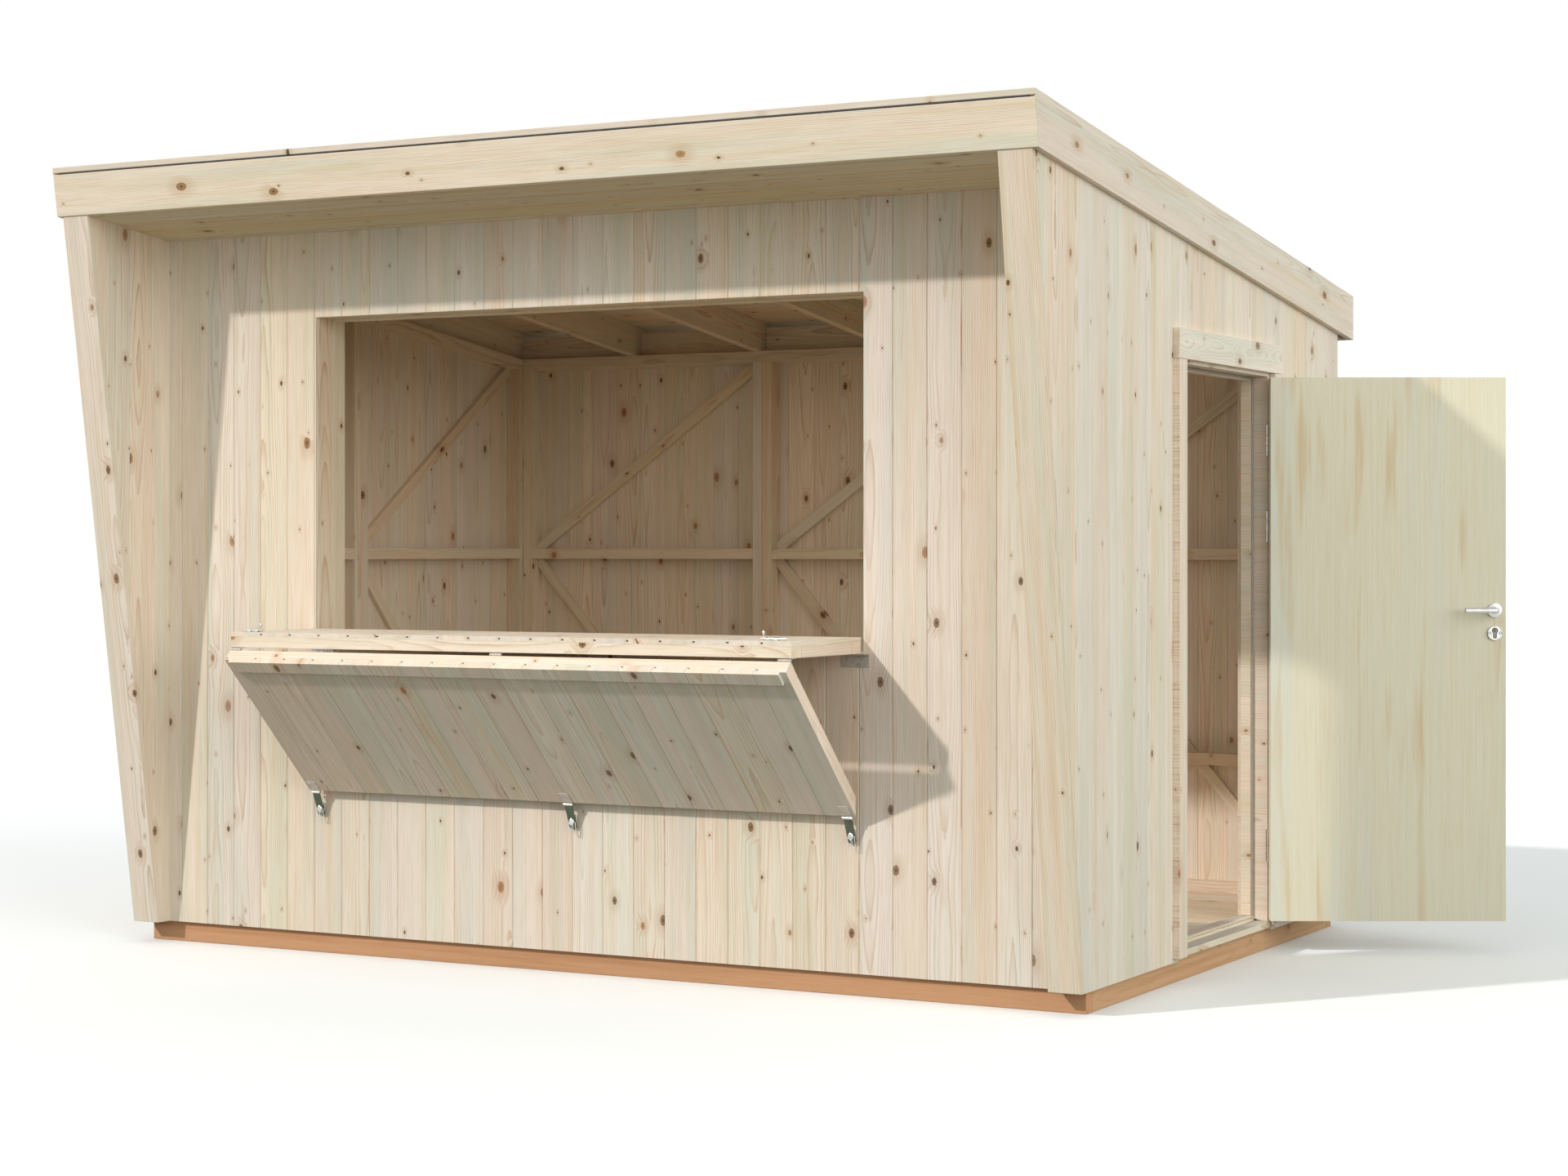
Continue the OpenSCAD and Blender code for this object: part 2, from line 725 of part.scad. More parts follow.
module door_threshold() {
    nose = 8;                           // how far the step stands out of the wall
    color(spruce) run_along_door()
        polygon([[frame_x0, floor_z], [frame_x, floor_z], [frame_x, base_h],
                 [wall_x + nose, base_h], [wall_x + nose, sill_z], [seal_x, sill_z],
                 [seal_x, threshold_top], [frame_x0, threshold_top]]);
}

// A flat shape drawn as (X, Z), running along the doorway between the rebates
module run_along_door() {
    run_y(door_y - rebate + joint, door_y + rebate - joint) children();
}

// Turns the closed door about its hinges to where it stands open
module door_swing() {
    translate([hinge_x, hinge_y, 0]) rotate([0, 0, door_angle])
        translate([-hinge_x, -hinge_y, 0]) children();
}

lever_y = leaf_y1 - leaf_w + lever_inset;
lock_z = lever_z - lock_drop;
spindle_r = 8;

// A cylinder along X through the closed leaf
module across(y, z, x0, x1, r) {
    translate([x0, y, z]) rotate([0, 90, 0]) cylinder(r = r, h = x1 - x0, $fn = 64);
}

module door_leaf() {
    color(plywood) door_swing() difference() {
        block(leaf_x1 - leaf_t, leaf_x1, leaf_y1 - leaf_w, leaf_y1, leaf_z, leaf_z + leaf_h);
        across(lever_y, lever_z, leaf_x1 - leaf_t - 1, leaf_x1 + 1, spindle_r + 1);
    }
}

// One half of each barrel hinge: its share of the knuckles, each with a lug that
// reaches from y0 to y1, where its pin goes into the wood
module hinge_half(y0, y1, parts) {
    for (z = hinge_zs, part = parts) translate([hinge_x, 0, z + part * knuckle_h]) {
        translate([0, hinge_y, 0]) cylinder(r = hinge_r, h = knuckle_h - joint, $fn = 32);
        translate([-lug_w, y0, (knuckle_h - joint - lug_h) / 2]) cube([lug_w, y1 - y0, lug_h]);
    }
}

knuckle_h = hinge_h / 3;
lug_w = 7;
lug_h = 8;

module frame_hinges() {
    color(steel) hinge_half(hinge_y, door_y + rebate, [0, 2]);
}

module leaf_hinges() {
    color(steel) door_swing() hinge_half(leaf_y1, hinge_y, [1]);
}

rose_r = 23;
rose_t = 8;

module handle_roses() {
    color(steel) door_swing() for (x = [[leaf_x1 - leaf_t - rose_t, leaf_x1 - leaf_t],
                                        [leaf_x1, leaf_x1 + rose_t]]) {
        difference() {
            across(lever_y, lever_z, x[0], x[1], rose_r);
            across(lever_y, lever_z, x[0] - 1, x[1] + 1, spindle_r + 0.5);
        }
        across(lever_y, lock_z, x[0], x[1], rose_r);
    }
}

lever_out = 48;                         // lever's centre line, out from the leaf's face
lever_len = 102;
lever_r = 7.5;

module lever_handles() {
    x0 = leaf_x1 - leaf_t - lever_out;
    x1 = leaf_x1 + lever_out;
    color(steel) door_swing() {
        across(lever_y, lever_z, x0, x1, spindle_r);
        for (x = [x0, x1])
            translate([x, lever_y - lever_r, lever_z]) rotate([-90, 0, 0])
                cylinder(r = lever_r, h = lever_len + lever_r, $fn = 48);
    }
}

base_frame();
floor_boards();
wall_plates();
wall_studs();
wall_rails();
wall_braces();
front_wall_left();
front_wall_right();
front_wall_below();
front_wall_above();
back_wall();
left_wall();
right_wall_front();
right_wall_rear();
right_wall_over_door();
wing_linings();
front_trims();
window_frame();
counter_top();
counter_frame();
flap_boards();
flap_frame();
flap_cover_strip();
hatch_hinges();
flap_hasps();
hasp_staples();
barrel_bolts();
rafters();
eaves_blocking();
roof_deck();
roof_felt();
soffit_boards();
front_fascia();
drip_strip();
side_fascias();
back_fascia();
door_casing();
door_frame();
door_stops();
door_threshold();
door_leaf();
frame_hinges();
leaf_hinges();
handle_roses();
lever_handles();
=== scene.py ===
import json
import math
import random

import bmesh
import bpy
from mathutils import Matrix, Vector


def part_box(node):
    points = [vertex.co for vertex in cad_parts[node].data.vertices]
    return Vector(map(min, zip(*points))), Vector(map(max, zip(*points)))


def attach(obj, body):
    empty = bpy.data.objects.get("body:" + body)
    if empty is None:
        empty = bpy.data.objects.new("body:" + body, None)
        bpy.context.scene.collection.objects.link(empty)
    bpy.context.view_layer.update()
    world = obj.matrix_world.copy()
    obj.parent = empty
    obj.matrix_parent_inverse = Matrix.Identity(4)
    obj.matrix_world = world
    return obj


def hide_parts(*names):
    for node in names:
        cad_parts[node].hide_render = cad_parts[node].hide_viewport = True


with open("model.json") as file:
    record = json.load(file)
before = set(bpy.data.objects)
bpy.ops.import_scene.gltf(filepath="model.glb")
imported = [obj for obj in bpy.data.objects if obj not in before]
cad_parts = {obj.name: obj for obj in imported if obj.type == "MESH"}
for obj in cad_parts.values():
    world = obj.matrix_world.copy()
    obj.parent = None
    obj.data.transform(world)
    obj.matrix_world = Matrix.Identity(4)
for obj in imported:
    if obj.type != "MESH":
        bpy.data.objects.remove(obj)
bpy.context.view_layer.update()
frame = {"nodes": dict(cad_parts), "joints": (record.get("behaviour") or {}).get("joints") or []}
NODES = frame["nodes"]
X, Y, Z = Vector((1, 0, 0)), Vector((0, 1, 0)), Vector((0, 0, 1))


def rgb(code):
    """A hex colour as linear red, green, blue and alpha."""
    parts = [int(code[i:i + 2], 16) / 255 for i in (1, 3, 5)]
    return [c / 12.92 if c <= 0.04045 else ((c + 0.055) / 1.055) ** 2.4 for c in parts] + [1.0]


# ---- Node materials ----
class Graph:
    """Short names for building one material's nodes."""

    def __init__(self, name):
        self.mat = bpy.data.materials.new(name)
        self.mat.use_nodes = True
        self.tree = self.mat.node_tree
        self.shader = self.tree.nodes["Principled BSDF"]

    def node(self, kind, **settings):
        n = self.tree.nodes.new(kind)
        for key, value in settings.items():
            setattr(n, key, value)
        return n

    def put(self, value, socket):
        if isinstance(value, bpy.types.NodeSocket):
            self.tree.links.new(value, socket)
        else:
            socket.default_value = value

    def math(self, op, a, b=0.0, c=0.0):
        n = self.node("ShaderNodeMath", operation=op)
        for i, v in enumerate((a, b, c)):
            self.put(v, n.inputs[i])
        return n.outputs[0]

    def vmath(self, op, a, b=(0, 0, 0)):
        n = self.node("ShaderNodeVectorMath", operation=op)
        self.put(a, n.inputs[0])
        self.put(b, n.inputs[1])
        return n.outputs[0]

    def attribute(self, name):
        return self.node("ShaderNodeAttribute", attribute_name=name).outputs["Vector"]

    def split(self, vector):
        n = self.node("ShaderNodeSeparateXYZ")
        self.put(vector, n.inputs[0])
        return n.outputs

    def join(self, x, y, z):
        n = self.node("ShaderNodeCombineXYZ")
        for i, v in enumerate((x, y, z)):
            self.put(v, n.inputs[i])
        return n.outputs[0]

    def noise(self, vector, scale, detail=2.0, rough=0.5):
        n = self.node("ShaderNodeTexNoise")
        self.put(vector, n.inputs["Vector"])
        n.inputs["Scale"].default_value = scale
        n.inputs["Detail"].default_value = detail
        n.inputs["Roughness"].default_value = rough
        return n.outputs[0]

    def step(self, value, lo, hi, out_lo=0.0, out_hi=1.0):
        """Smooth step of a value from lo..hi to out_lo..out_hi."""
        n = self.node("ShaderNodeMapRange", interpolation_type="SMOOTHSTEP")
        for i, v in enumerate((value, lo, hi, out_lo, out_hi)):
            self.put(v, n.inputs[i])
        return n.outputs[0]

    def mix(self, amount, a, b, blend="MIX"):
        n = self.node("ShaderNodeMix", data_type="RGBA", blend_type=blend)
        self.put(amount, n.inputs[0])
        self.put(a, n.inputs[6])
        self.put(b, n.inputs[7])
        return n.outputs[2]

    def bump(self, height, distance, strength=1.0):
        n = self.node("ShaderNodeBump")
        n.inputs["Strength"].default_value = strength
        n.inputs["Distance"].default_value = distance
        self.put(height, n.inputs["Height"])
        self.put(n.outputs[0], self.shader.inputs["Normal"])


def wood(name, early, late, knot, streak, ring=0.0052, contrast=0.74, knots=0.6, rough=0.6,
         top_shade=0.0, tinted="#DFE0CE", vary=0.34, sawn=False, figure=(3.0, 3.0, 1.5), bend=0.036):
    """Sawn timber: rings about the pith, knots that bend them, streaks and a tone per board.

    "grain" holds a point's place from the pith (x, y) and along the timber (z), in metres,
    and "tone" holds three random numbers for the timber that it belongs to."""
    g = Graph(name)
    grain = g.attribute("grain")
    tone = g.split(g.attribute("tone"))
    gx, gy, gz = g.split(grain)[0:3]
    # Knots: one place in each cell of a stretched pattern, some of them left empty
    cell = g.node("ShaderNodeTexVoronoi", voronoi_dimensions="2D", feature="F1")
    side = g.math("ADD", gx, g.math("MULTIPLY", gy, 0.6))
    g.put(g.join(g.math("MULTIPLY", side, 1.0), g.math("MULTIPLY", gz, 0.62), 0.0),
          cell.inputs["Vector"])
    cell.inputs["Scale"].default_value = 9.0
    cell.inputs["Randomness"].default_value = 1.0
    pick = g.split(cell.outputs["Color"])
    near = g.math("MULTIPLY", cell.outputs["Distance"], 1 / 9.0)
    edge = g.math("MULTIPLY", g.noise(grain, 120.0, 1.0), 0.0022)
    near = g.math("ADD", near, edge)
    has = g.step(pick[0], 1.0 - knots, 1.0 - knots + 0.01)
    size = g.math("MULTIPLY_ADD", g.math("POWER", pick[1], 4.0), 0.0105, 0.0033)
    apart = g.math("DIVIDE", near, size)
    body = g.math("MULTIPLY", has, g.step(apart, 1.1, 0.8))
    ringed = g.math("MULTIPLY", has, g.step(apart, 3.6, 0.9))
    # Rings
    r = g.math("SQRT", g.math("ADD", g.math("MULTIPLY", gx, gx), g.math("MULTIPLY", gy, gy)))
    slow = g.noise(g.vmath("MULTIPLY", grain, figure), 1.0, 2.0, 0.4)
    fine = g.noise(g.vmath("MULTIPLY", grain, (45.0, 45.0, 4.0)), 1.0, 2.0, 0.5)
    r = g.math("MULTIPLY_ADD", gz, g.math("MULTIPLY_ADD", tone[0], 0.020, -0.010), r)
    r = g.math("MULTIPLY_ADD", slow, bend, r)
    r = g.math("MULTIPLY_ADD", fine, 0.0022, r)
    wavy = g.noise(g.vmath("MULTIPLY", grain, (90.0, 90.0, 34.0)), 1.0, 2.0, 0.6)
    r = g.math("MULTIPLY_ADD", wavy, 0.0011, r)
    r = g.math("MULTIPLY_ADD", ringed, 0.007, r)
    year = g.noise(g.join(g.math("MULTIPLY", r, 55.0), tone[1], 0.0), 1.0, 1.0, 0.5)
    turn = g.math("FRACT", g.math("DIVIDE", g.math("MULTIPLY_ADD", year, 0.009, r), ring))
    line = g.math("MULTIPLY", g.math("POWER", turn, 5.0), g.step(turn, 1.0, 0.95))
    dark = g.math("MULTIPLY_ADD", g.math("POWER", turn, 2.0), 0.16, line)
    dark = g.math("MULTIPLY", dark, g.step(year, 0.2, 0.7, 0.4, 1.0))
    faded = g.noise(g.vmath("MULTIPLY", grain, (30.0, 30.0, 3.5)), 1.0, 2.0, 0.6)
    dark = g.math("MULTIPLY", dark, g.step(faded, 0.3, 0.62, 0.35, 1.0))
    if sawn:                                    # rough edges hide the rings behind saw marks
        edge_on = g.math("ABSOLUTE", g.split(g.node("ShaderNodeNewGeometry").outputs["Normal"])[1])
        edge_on = g.step(edge_on, 0.8, 0.95)
        dark = g.math("MULTIPLY", dark, g.math("MULTIPLY_ADD", edge_on, -0.85, 1.0))
    # Streaks and pores along the grain
    wide = g.noise(g.vmath("MULTIPLY", grain, (42.0, 42.0, 0.9)), 1.0, 3.0, 0.6)
    hair = g.noise(g.vmath("MULTIPLY", grain, (700.0, 700.0, 8.0)), 1.0, 2.0, 0.6)
    tint = g.noise(g.vmath("MULTIPLY", grain, (15.0, 15.0, 0.7)), 1.0, 2.0, 0.5)
    colour = g.mix(g.step(tint, 0.42, 0.66, 0.0, 0.55), rgb(early), rgb(tinted))
    colour = g.mix(g.math("MULTIPLY", dark, contrast), colour, rgb(late))
    colour = g.mix(g.step(wide, 0.45, 0.78, 0.0, 0.6), colour, rgb(streak))
    colour = g.mix(g.step(hair, 0.45, 0.75, 0.0, 0.28), colour, rgb(late))
    colour = g.mix(g.math("MULTIPLY", ringed, 0.30), colour, rgb(late))
    core = g.mix(g.step(near, 0.002, 0.010), rgb(knot), rgb(late))
    rim = g.math("MULTIPLY", g.step(apart, 0.55, 0.85), g.step(apart, 1.15, 0.9))
    core = g.mix(g.math("MULTIPLY", rim, 0.8), core, rgb(knot))
    live = g.mix(g.step(apart, 0.1, 0.9, 0.75, 0.0), rgb("#B47C46"), rgb("#7E4E28"))
    core = g.mix(g.step(pick[2], 0.50, 0.52), live, core)
    colour = g.mix(g.math("MULTIPLY", body, g.step(pick[2], 0.50, 0.52, 0.78, 0.92)), colour, core)
    # Grey patches on faces that look up: painted shade for the shade on a threshold's top.
    if top_shade:
        up = g.split(g.node("ShaderNodeNewGeometry").outputs["Normal"])[2]
        top_shade_patch = g.noise(g.vmath("MULTIPLY", grain, (25.0, 25.0, 3.0)), 1.0, 3.0, 0.6)
        top_shade_patch = g.math("MULTIPLY", g.step(up, 0.8, 0.95), g.step(top_shade_patch, 0.2, 0.6, 0.4, top_shade))
        colour = g.mix(top_shade_patch, colour, rgb("#B9B2B0"))
    if sawn:
        marks = g.noise(g.vmath("MULTIPLY", grain, (9.0, 9.0, 330.0)), 1.0, 2.0, 0.6)
        marks = g.math("MULTIPLY", edge_on, g.step(marks, 0.46, 0.66))
        patch = g.noise(g.vmath("MULTIPLY", grain, (2.0, 2.0, 14.0)), 1.0, 1.0, 0.5)
        marks = g.math("MULTIPLY", marks, g.step(patch, 0.3, 0.55, 0.1, 0.55))
        colour = g.mix(marks, colour, rgb(late))
    hsv = g.node("ShaderNodeHueSaturation")
    g.put(g.math("MULTIPLY_ADD", tone[0], 0.014, 0.495), hsv.inputs["Hue"])
    g.put(g.math("MULTIPLY_ADD", tone[1], vary, 1.0 - 0.59 * vary), hsv.inputs["Saturation"])
    g.put(g.math("MULTIPLY_ADD", tone[2], 0.07, 0.95), hsv.inputs["Value"])
    g.put(colour, hsv.inputs["Color"])
    g.put(hsv.outputs[0], g.shader.inputs["Base Color"])
    g.put(g.math("MULTIPLY_ADD", dark, -0.10, rough), g.shader.inputs["Roughness"])
    g.shader.inputs["Specular IOR Level"].default_value = 0.25
    height = g.math("ADD", g.math("MULTIPLY", dark, 0.5), g.math("MULTIPLY", hair, 0.6))
    height = g.math("MULTIPLY_ADD", body, -0.5, height)
    g.bump(height, 0.0004, 0.35)
    return g.mat


def plywood(name):
    """Rotary-cut veneer: fine upright streaks, soft cloudy tone and a few flames."""
    g = Graph(name)
    grain = g.attribute("grain")
    streak = g.noise(g.vmath("MULTIPLY", grain, (120.0, 120.0, 2.2)), 1.0, 4.0, 0.65)
    pores = g.noise(g.vmath("MULTIPLY", grain, (600.0, 600.0, 16.0)), 1.0, 3.0, 0.6)
    cloud = g.noise(g.vmath("MULTIPLY", grain, (4.0, 4.0, 1.2)), 1.0, 3.0, 0.5)
    flame = g.noise(g.vmath("MULTIPLY", grain, (22.0, 22.0, 1.6)), 1.0, 2.0, 0.5)
    flame = g.math("MULTIPLY", g.step(flame, 0.55, 0.74), g.step(streak, 0.2, 0.6, 0.4, 1.0))
    milky = g.noise(g.vmath("MULTIPLY", grain, (9.0, 9.0, 0.5)), 1.0, 1.0, 0.5)
    colour = g.mix(g.step(streak, 0.35, 0.7, 0.0, 0.55), rgb("#EBE1C9"), rgb("#DED1AE"))
    colour = g.mix(g.step(milky, 0.48, 0.72, 0.0, 0.8), colour, rgb("#E0E0D2"))
    colour = g.mix(g.math("MULTIPLY", flame, 0.6), colour, rgb("#D6AE72"))
    colour = g.mix(g.step(pores, 0.5, 0.8, 0.0, 0.25), colour, rgb("#B9A678"))
    colour = g.mix(g.step(cloud, 0.3, 0.65, 0.3, 0.0), colour, rgb("#E6E2CA"))
    g.put(colour, g.shader.inputs["Base Color"])
    g.put(g.step(pores, 0.3, 0.8, 0.5, 0.62), g.shader.inputs["Roughness"])
    g.bump(g.math("ADD", pores, streak), 0.0003, 0.2)
    return g.mat


def metal(name, colour, dull, rough, brushed, coat=0.0):
    g = Graph(name)
    where = g.node("ShaderNodeTexCoord").outputs["Object"]
    scratch = g.noise(g.vmath("MULTIPLY", where, brushed), 1.0, 4.0, 0.65)
    spots = g.noise(where, 55.0, 4.0, 0.6)
    g.put(g.mix(g.step(spots, 0.4, 0.75, 0.0, 0.8), rgb(colour), rgb(dull)),
          g.shader.inputs["Base Color"])
    g.put(g.math("MULTIPLY_ADD", scratch, 0.22, rough), g.shader.inputs["Roughness"])
    g.shader.inputs["Metallic"].default_value = 1.0 - coat
    g.bump(scratch, 0.0002, 0.15)
    return g.mat


def felt_material():
    g = Graph("mineral_felt")
    where = g.node("ShaderNodeTexCoord").outputs["Object"]
    grit = g.node("ShaderNodeTexVoronoi")
    g.put(where, grit.inputs["Vector"])
    grit.inputs["Scale"].default_value = 420.0
    shade = g.split(grit.outputs["Color"])[0]
    cloud = g.noise(where, 2.3, 4.0, 0.55)
    colour = g.mix(shade, rgb("#33363A"), rgb("#6C7074"))
    colour = g.mix(g.step(cloud, 0.35, 0.7, 0.0, 0.35), colour, rgb("#4A4B4C"))
    g.put(colour, g.shader.inputs["Base Color"])
    g.put(g.math("MULTIPLY_ADD", shade, 0.1, 0.82), g.shader.inputs["Roughness"])
    g.bump(g.math("ADD", shade, grit.outputs["Distance"]), 0.0008, 0.6)
    return g.mat


def rubber_material():
    g = Graph("seal_rubber")
    where = g.node("ShaderNodeTexCoord").outputs["Object"]
    dust = g.noise(where, 160.0, 3.0, 0.6)
    g.put(g.mix(g.step(dust, 0.45, 0.8), rgb("#A89A8C"), rgb("#BCAE9E")),
          g.shader.inputs["Base Color"])
    g.put(g.math("MULTIPLY_ADD", dust, 0.2, 0.5), g.shader.inputs["Roughness"])
    g.bump(dust, 0.0002, 0.3)
    return g.mat


SPRUCE = wood("raw_spruce_boards", "#F7E7D6", "#BE9066", "#54361F", "#E5CDAB")
FRAMING = wood("raw_spruce_framing", "#EEDCC4", "#B8865A", "#54361F", "#DFC298", 0.0046)
# The soffit's spruce is darker than the other boards: painted shade for the shade under the eaves.
SOFFIT_PAINTED_SHADE = wood("raw_spruce_soffit_painted_shade", "#E4D3B2", "#B08356", "#54361F", "#D3B98F")
# The threshold: its grey top faces are painted shade.
SILL = wood("raw_spruce_threshold_painted_shade", "#F0E4CE", "#BC8C60", "#54361F", "#E3C9A5", top_shade=0.7)
CASING = wood("raw_spruce_casing", "#F7E7D6", "#BE9066", "#54361F", "#E5CDAB", sawn=True,
              figure=(3.0, 3.0, 3.2), bend=0.055)
TREATED = wood("brown_treated_timber", "#D8A67E", "#A8734A", "#4E2F1A", "#B98459",
               0.0036, 0.5, 0.35, 0.7, tinted="#CFA27C", vary=0.06)
PLYWOOD = plywood("sanded_plywood")
ZINC = metal("zinc_plate", "#D6D6D2", "#B4B5B1", 0.12, (60, 60, 60))
GALVANISED = metal("galvanised_plate", "#C9C2B8", "#A8A199", 0.42, (60, 60, 60), 0.5)
# The straps' dark olive colour is painted reflection of dark green surroundings.
STRAP_PAINTED_REFLECTION = metal("dark_green_painted_reflection_plate", "#5C6354", "#4A5043", 0.22, (60, 60, 60))
# The lock cylinders' dark colour is painted shade of the recessed key hole.
LOCK_PAINTED_SHADE = metal("lock_cylinder_painted_shade", "#857C6C", "#665F53", 0.34, (60, 60, 60))
SATIN = metal("satin_steel_finish", "#CDCDCB", "#BBBAB7", 0.27, (40, 40, 900))
FELT = felt_material()
RUBBER = rubber_material()


# ---- Meshes ----
def finish_piece(bm, name, body, mat, nodes=(), smooth=False):
    """Makes an object of the mesh, puts it under its body's empty and hides the nodes that it
    replaces.
    """
    bmesh.ops.recalc_face_normals(bm, faces=bm.faces)
    mesh = bpy.data.meshes.new(name)
    bm.to_mesh(mesh)
    bm.free()
    mesh.materials.append(mat)
    obj = bpy.data.objects.new(name, mesh)
    bpy.context.scene.collection.objects.link(obj)
    if smooth:
        mesh.shade_smooth()
        mesh.set_sharp_from_angle(angle=math.radians(32))
    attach(obj, body)
    if nodes:
        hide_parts(*nodes)
    return obj


def cad_mesh(node):
    """A node's own solids, with its split corners joined and flat faces whole."""
    bm = bmesh.new()
    bm.from_mesh(NODES[node].data)
    bmesh.ops.remove_doubles(bm, verts=bm.verts, dist=1e-5)
    bmesh.ops.dissolve_limit(bm, angle_limit=math.radians(0.5), verts=bm.verts, edges=bm.edges)
    return bm


def islands(bm):
    """Lists of the vertices of each separate solid. Here and below, vertices, edges and faces
    are gone through in the mesh's own order and never in a set's, which differs each run."""
    left, found = set(bm.verts), []
    for start in list(bm.verts):
        if start not in left:
            continue
        left.discard(start)
        group, queue = [start], [start]
        while queue:
            for e in queue.pop().link_edges:
                for v in e.verts:
                    if v in left:
                        left.discard(v)
                        group.append(v)
                        queue.append(v)
        found.append(group)
    return found


def grain_layers(bm):
    return (bm.verts.layers.float_vector.new("grain"), bm.verts.layers.float_vector.new("tone"))


def pith(rng, half_width):
    """Where a timber's pith lies from its middle: beside it, or behind its face."""
    if rng.random() < 0.35:
        return (rng.choice((-1, 1)) * (half_width + rng.uniform(0.03, 0.09)),
                rng.uniform(-0.02, 0.02))
    return rng.uniform(-0.8, 0.8) * half_width, rng.choice((-1, 1)) * rng.uniform(0.022, 0.075)


def paint_grain(verts, layers, rng, origin, across, out, along, half_width, flat=False):
    px, py = pith(rng, half_width)
    if flat:                                    # sawn flat: the pith lies behind the face
        px, py = 0.1 * half_width, -0.055
    start = rng.uniform(0, 40)
    tone = Vector((rng.random(), rng.random(), rng.random()))
    for v in verts:
        p = v.co - origin
        v[layers[0]] = (p.dot(across) - px, p.dot(out) - py, p.dot(along) + start)
        v[layers[1]] = tone


def timber(node, mat=FRAMING, body="stall", arris=0.0016, crossed=False,
           flat=False):
    """A node's timbers with eased arrises, each with grain along its longest edge, or with
    the cross-grained look of the door's posts."""
    bm = cad_mesh(node)
    sharp = [e for e in bm.edges if e.calc_face_angle(0) > math.radians(15)]
    bmesh.ops.bevel(bm, geom=sharp, offset=arris, segments=2, profile=0.6,
                    affect="EDGES", clamp_overlap=True)
    layers = grain_layers(bm)
    for i, group in enumerate(islands(bm)):
        edges = dict.fromkeys(e for v in group for e in v.link_edges)
        longest = max(edges, key=lambda e: e.calc_length())
        along = (longest.verts[0].co - longest.verts[1].co).normalized()
        if crossed and abs(along.z) > 0.9:
            along = X.copy()
        faces = dict.fromkeys(f for v in group for f in v.link_faces)
        sides = [f for f in faces if abs(f.normal.dot(along)) < 0.1]
        face_out = max(sides, key=lambda f: f.calc_area()).normal.copy()
        across = face_out.cross(along).normalized()
        place = [v.co.dot(across) for v in group]
        middle = sum((v.co for v in group), Vector()) / len(group)
        rng = random.Random(f"{node} {i}")
        paint_grain(group, layers, rng, middle, across, face_out, along,
                    (max(place) - min(place)) / 2, flat and abs(along.z) < 0.5)
    return finish_piece(bm, node + "_timber", body, mat, (node,))


def board_section(pitch, thick, chamfer=0.0024, gap=0.0006, back=0.0006, room=0.0045):
    """A tongued and grooved board's section: x across it, y out of its outer face."""
    a, b, play = -0.34 * thick, -0.62 * thick, 0.0004
    lo, hi, tongue = gap / 2, pitch - gap / 2, 0.004
    tip = hi + tongue
    deep = lo + tongue + room
    return [(lo + chamfer, 0), (hi - chamfer, 0), (hi, -chamfer), (hi, a), (tip, a), (tip, b),
            (hi, b), (hi, -thick + back), (hi - back, -thick), (lo + back, -thick),
            (lo, -thick + back), (lo, b - play), (deep, b - play), (deep, a + play),
            (lo, a + play), (lo, -chamfer)]


def plain_section(pitch, thick, chamfer=0.001, gap=0.0008, back=0.001):
    lo, hi = gap / 2, pitch - gap / 2
    return [(lo + chamfer, 0), (hi - chamfer, 0), (hi, -chamfer), (hi, -thick + back),
            (hi - back, -thick), (lo + back, -thick), (lo, -thick + back), (lo, -chamfer)]


def cut(bm, co, no):
    """Cuts off what lies beyond a plane, and closes each cut."""
    geom = list(bm.verts) + list(bm.edges) + list(bm.faces)
    bmesh.ops.bisect_plane(bm, geom=geom, plane_co=co, plane_no=no, clear_outer=True, dist=1e-6)
    rim = [e for e in bm.edges if e.is_boundary]
    if rim:
        bmesh.ops.triangle_fill(bm, edges=rim, use_beauty=True, normal=no)


def boarded(node, along, out, seam, pitch, family, mat=SPRUCE,
            section=board_section, wobble=0.0):
    """Boards in place of a slab. Each runs along "along" and is cut by the slab's own faces.
    A joint passes through the point "seam". Boards of one family share their places, grain
    and tone wherever they show."""
    whole = bmesh.new()
    grain_layers(whole)
    along = along.normalized()
    facing = out if callable(out) else lambda middle: out
    slab = cad_mesh(node)
    for group in islands(slab):
        cos = [v.co.copy() for v in group]
        out = facing(sum(cos, Vector()) / len(cos)).normalized()
        across = out.cross(along).normalized()
        phase = seam.dot(across)
        faces = dict.fromkeys(f for v in group for f in v.link_faces)
        planes = [(f.calc_center_median(), f.normal.copy()) for f in faces
                  if abs(f.normal.dot(out)) < 0.99]
        w = [c.dot(across) for c in cos]
        h = [c.dot(along) for c in cos]
        d = [c.dot(out) for c in cos]
        first = math.floor((min(w) - phase) / pitch + 1e-6)
        last = math.ceil((max(w) - phase) / pitch - 1e-6)
        for i in range(first, last):
            rng = random.Random(f"{family} {i} {round(across.x + 2 * across.y)}")
            lift = rng.uniform(-wobble, 0)
            bm = bmesh.new()
            layers = grain_layers(bm)
            base = across * (phase + i * pitch) + out * (max(d) + lift)
            ring = [base + across * x + out * y for x, y in section(pitch, max(d) - min(d) + lift)]
            low = [bm.verts.new(p + along * (min(h) - 0.02)) for p in ring]
            top = [bm.verts.new(p + along * (max(h) + 0.02)) for p in ring]
            bm.faces.new(low)
            bm.faces.new(top)
            for j in range(len(ring)):
                k = (j + 1) % len(ring)
                bm.faces.new((low[j], low[k], top[k], top[j]))
            bmesh.ops.recalc_face_normals(bm, faces=bm.faces)
            for co, no in planes:
                if any((v.co - co).dot(no) > 1e-6 for v in bm.verts):
                    cut(bm, co, no)
                if not bm.verts:
                    break
            if bm.verts:
                origin = base + across * (pitch / 2)
                origin -= along * origin.dot(along)
                paint_grain(bm.verts, layers, rng, origin, across, out, along, pitch / 2)
                part = bpy.data.meshes.new("part")
                bm.to_mesh(part)
                whole.from_mesh(part)
                bpy.data.meshes.remove(part)
            bm.free()
    slab.free()
    return finish_piece(whole, node + "_cladding", "stall", mat, (node,))


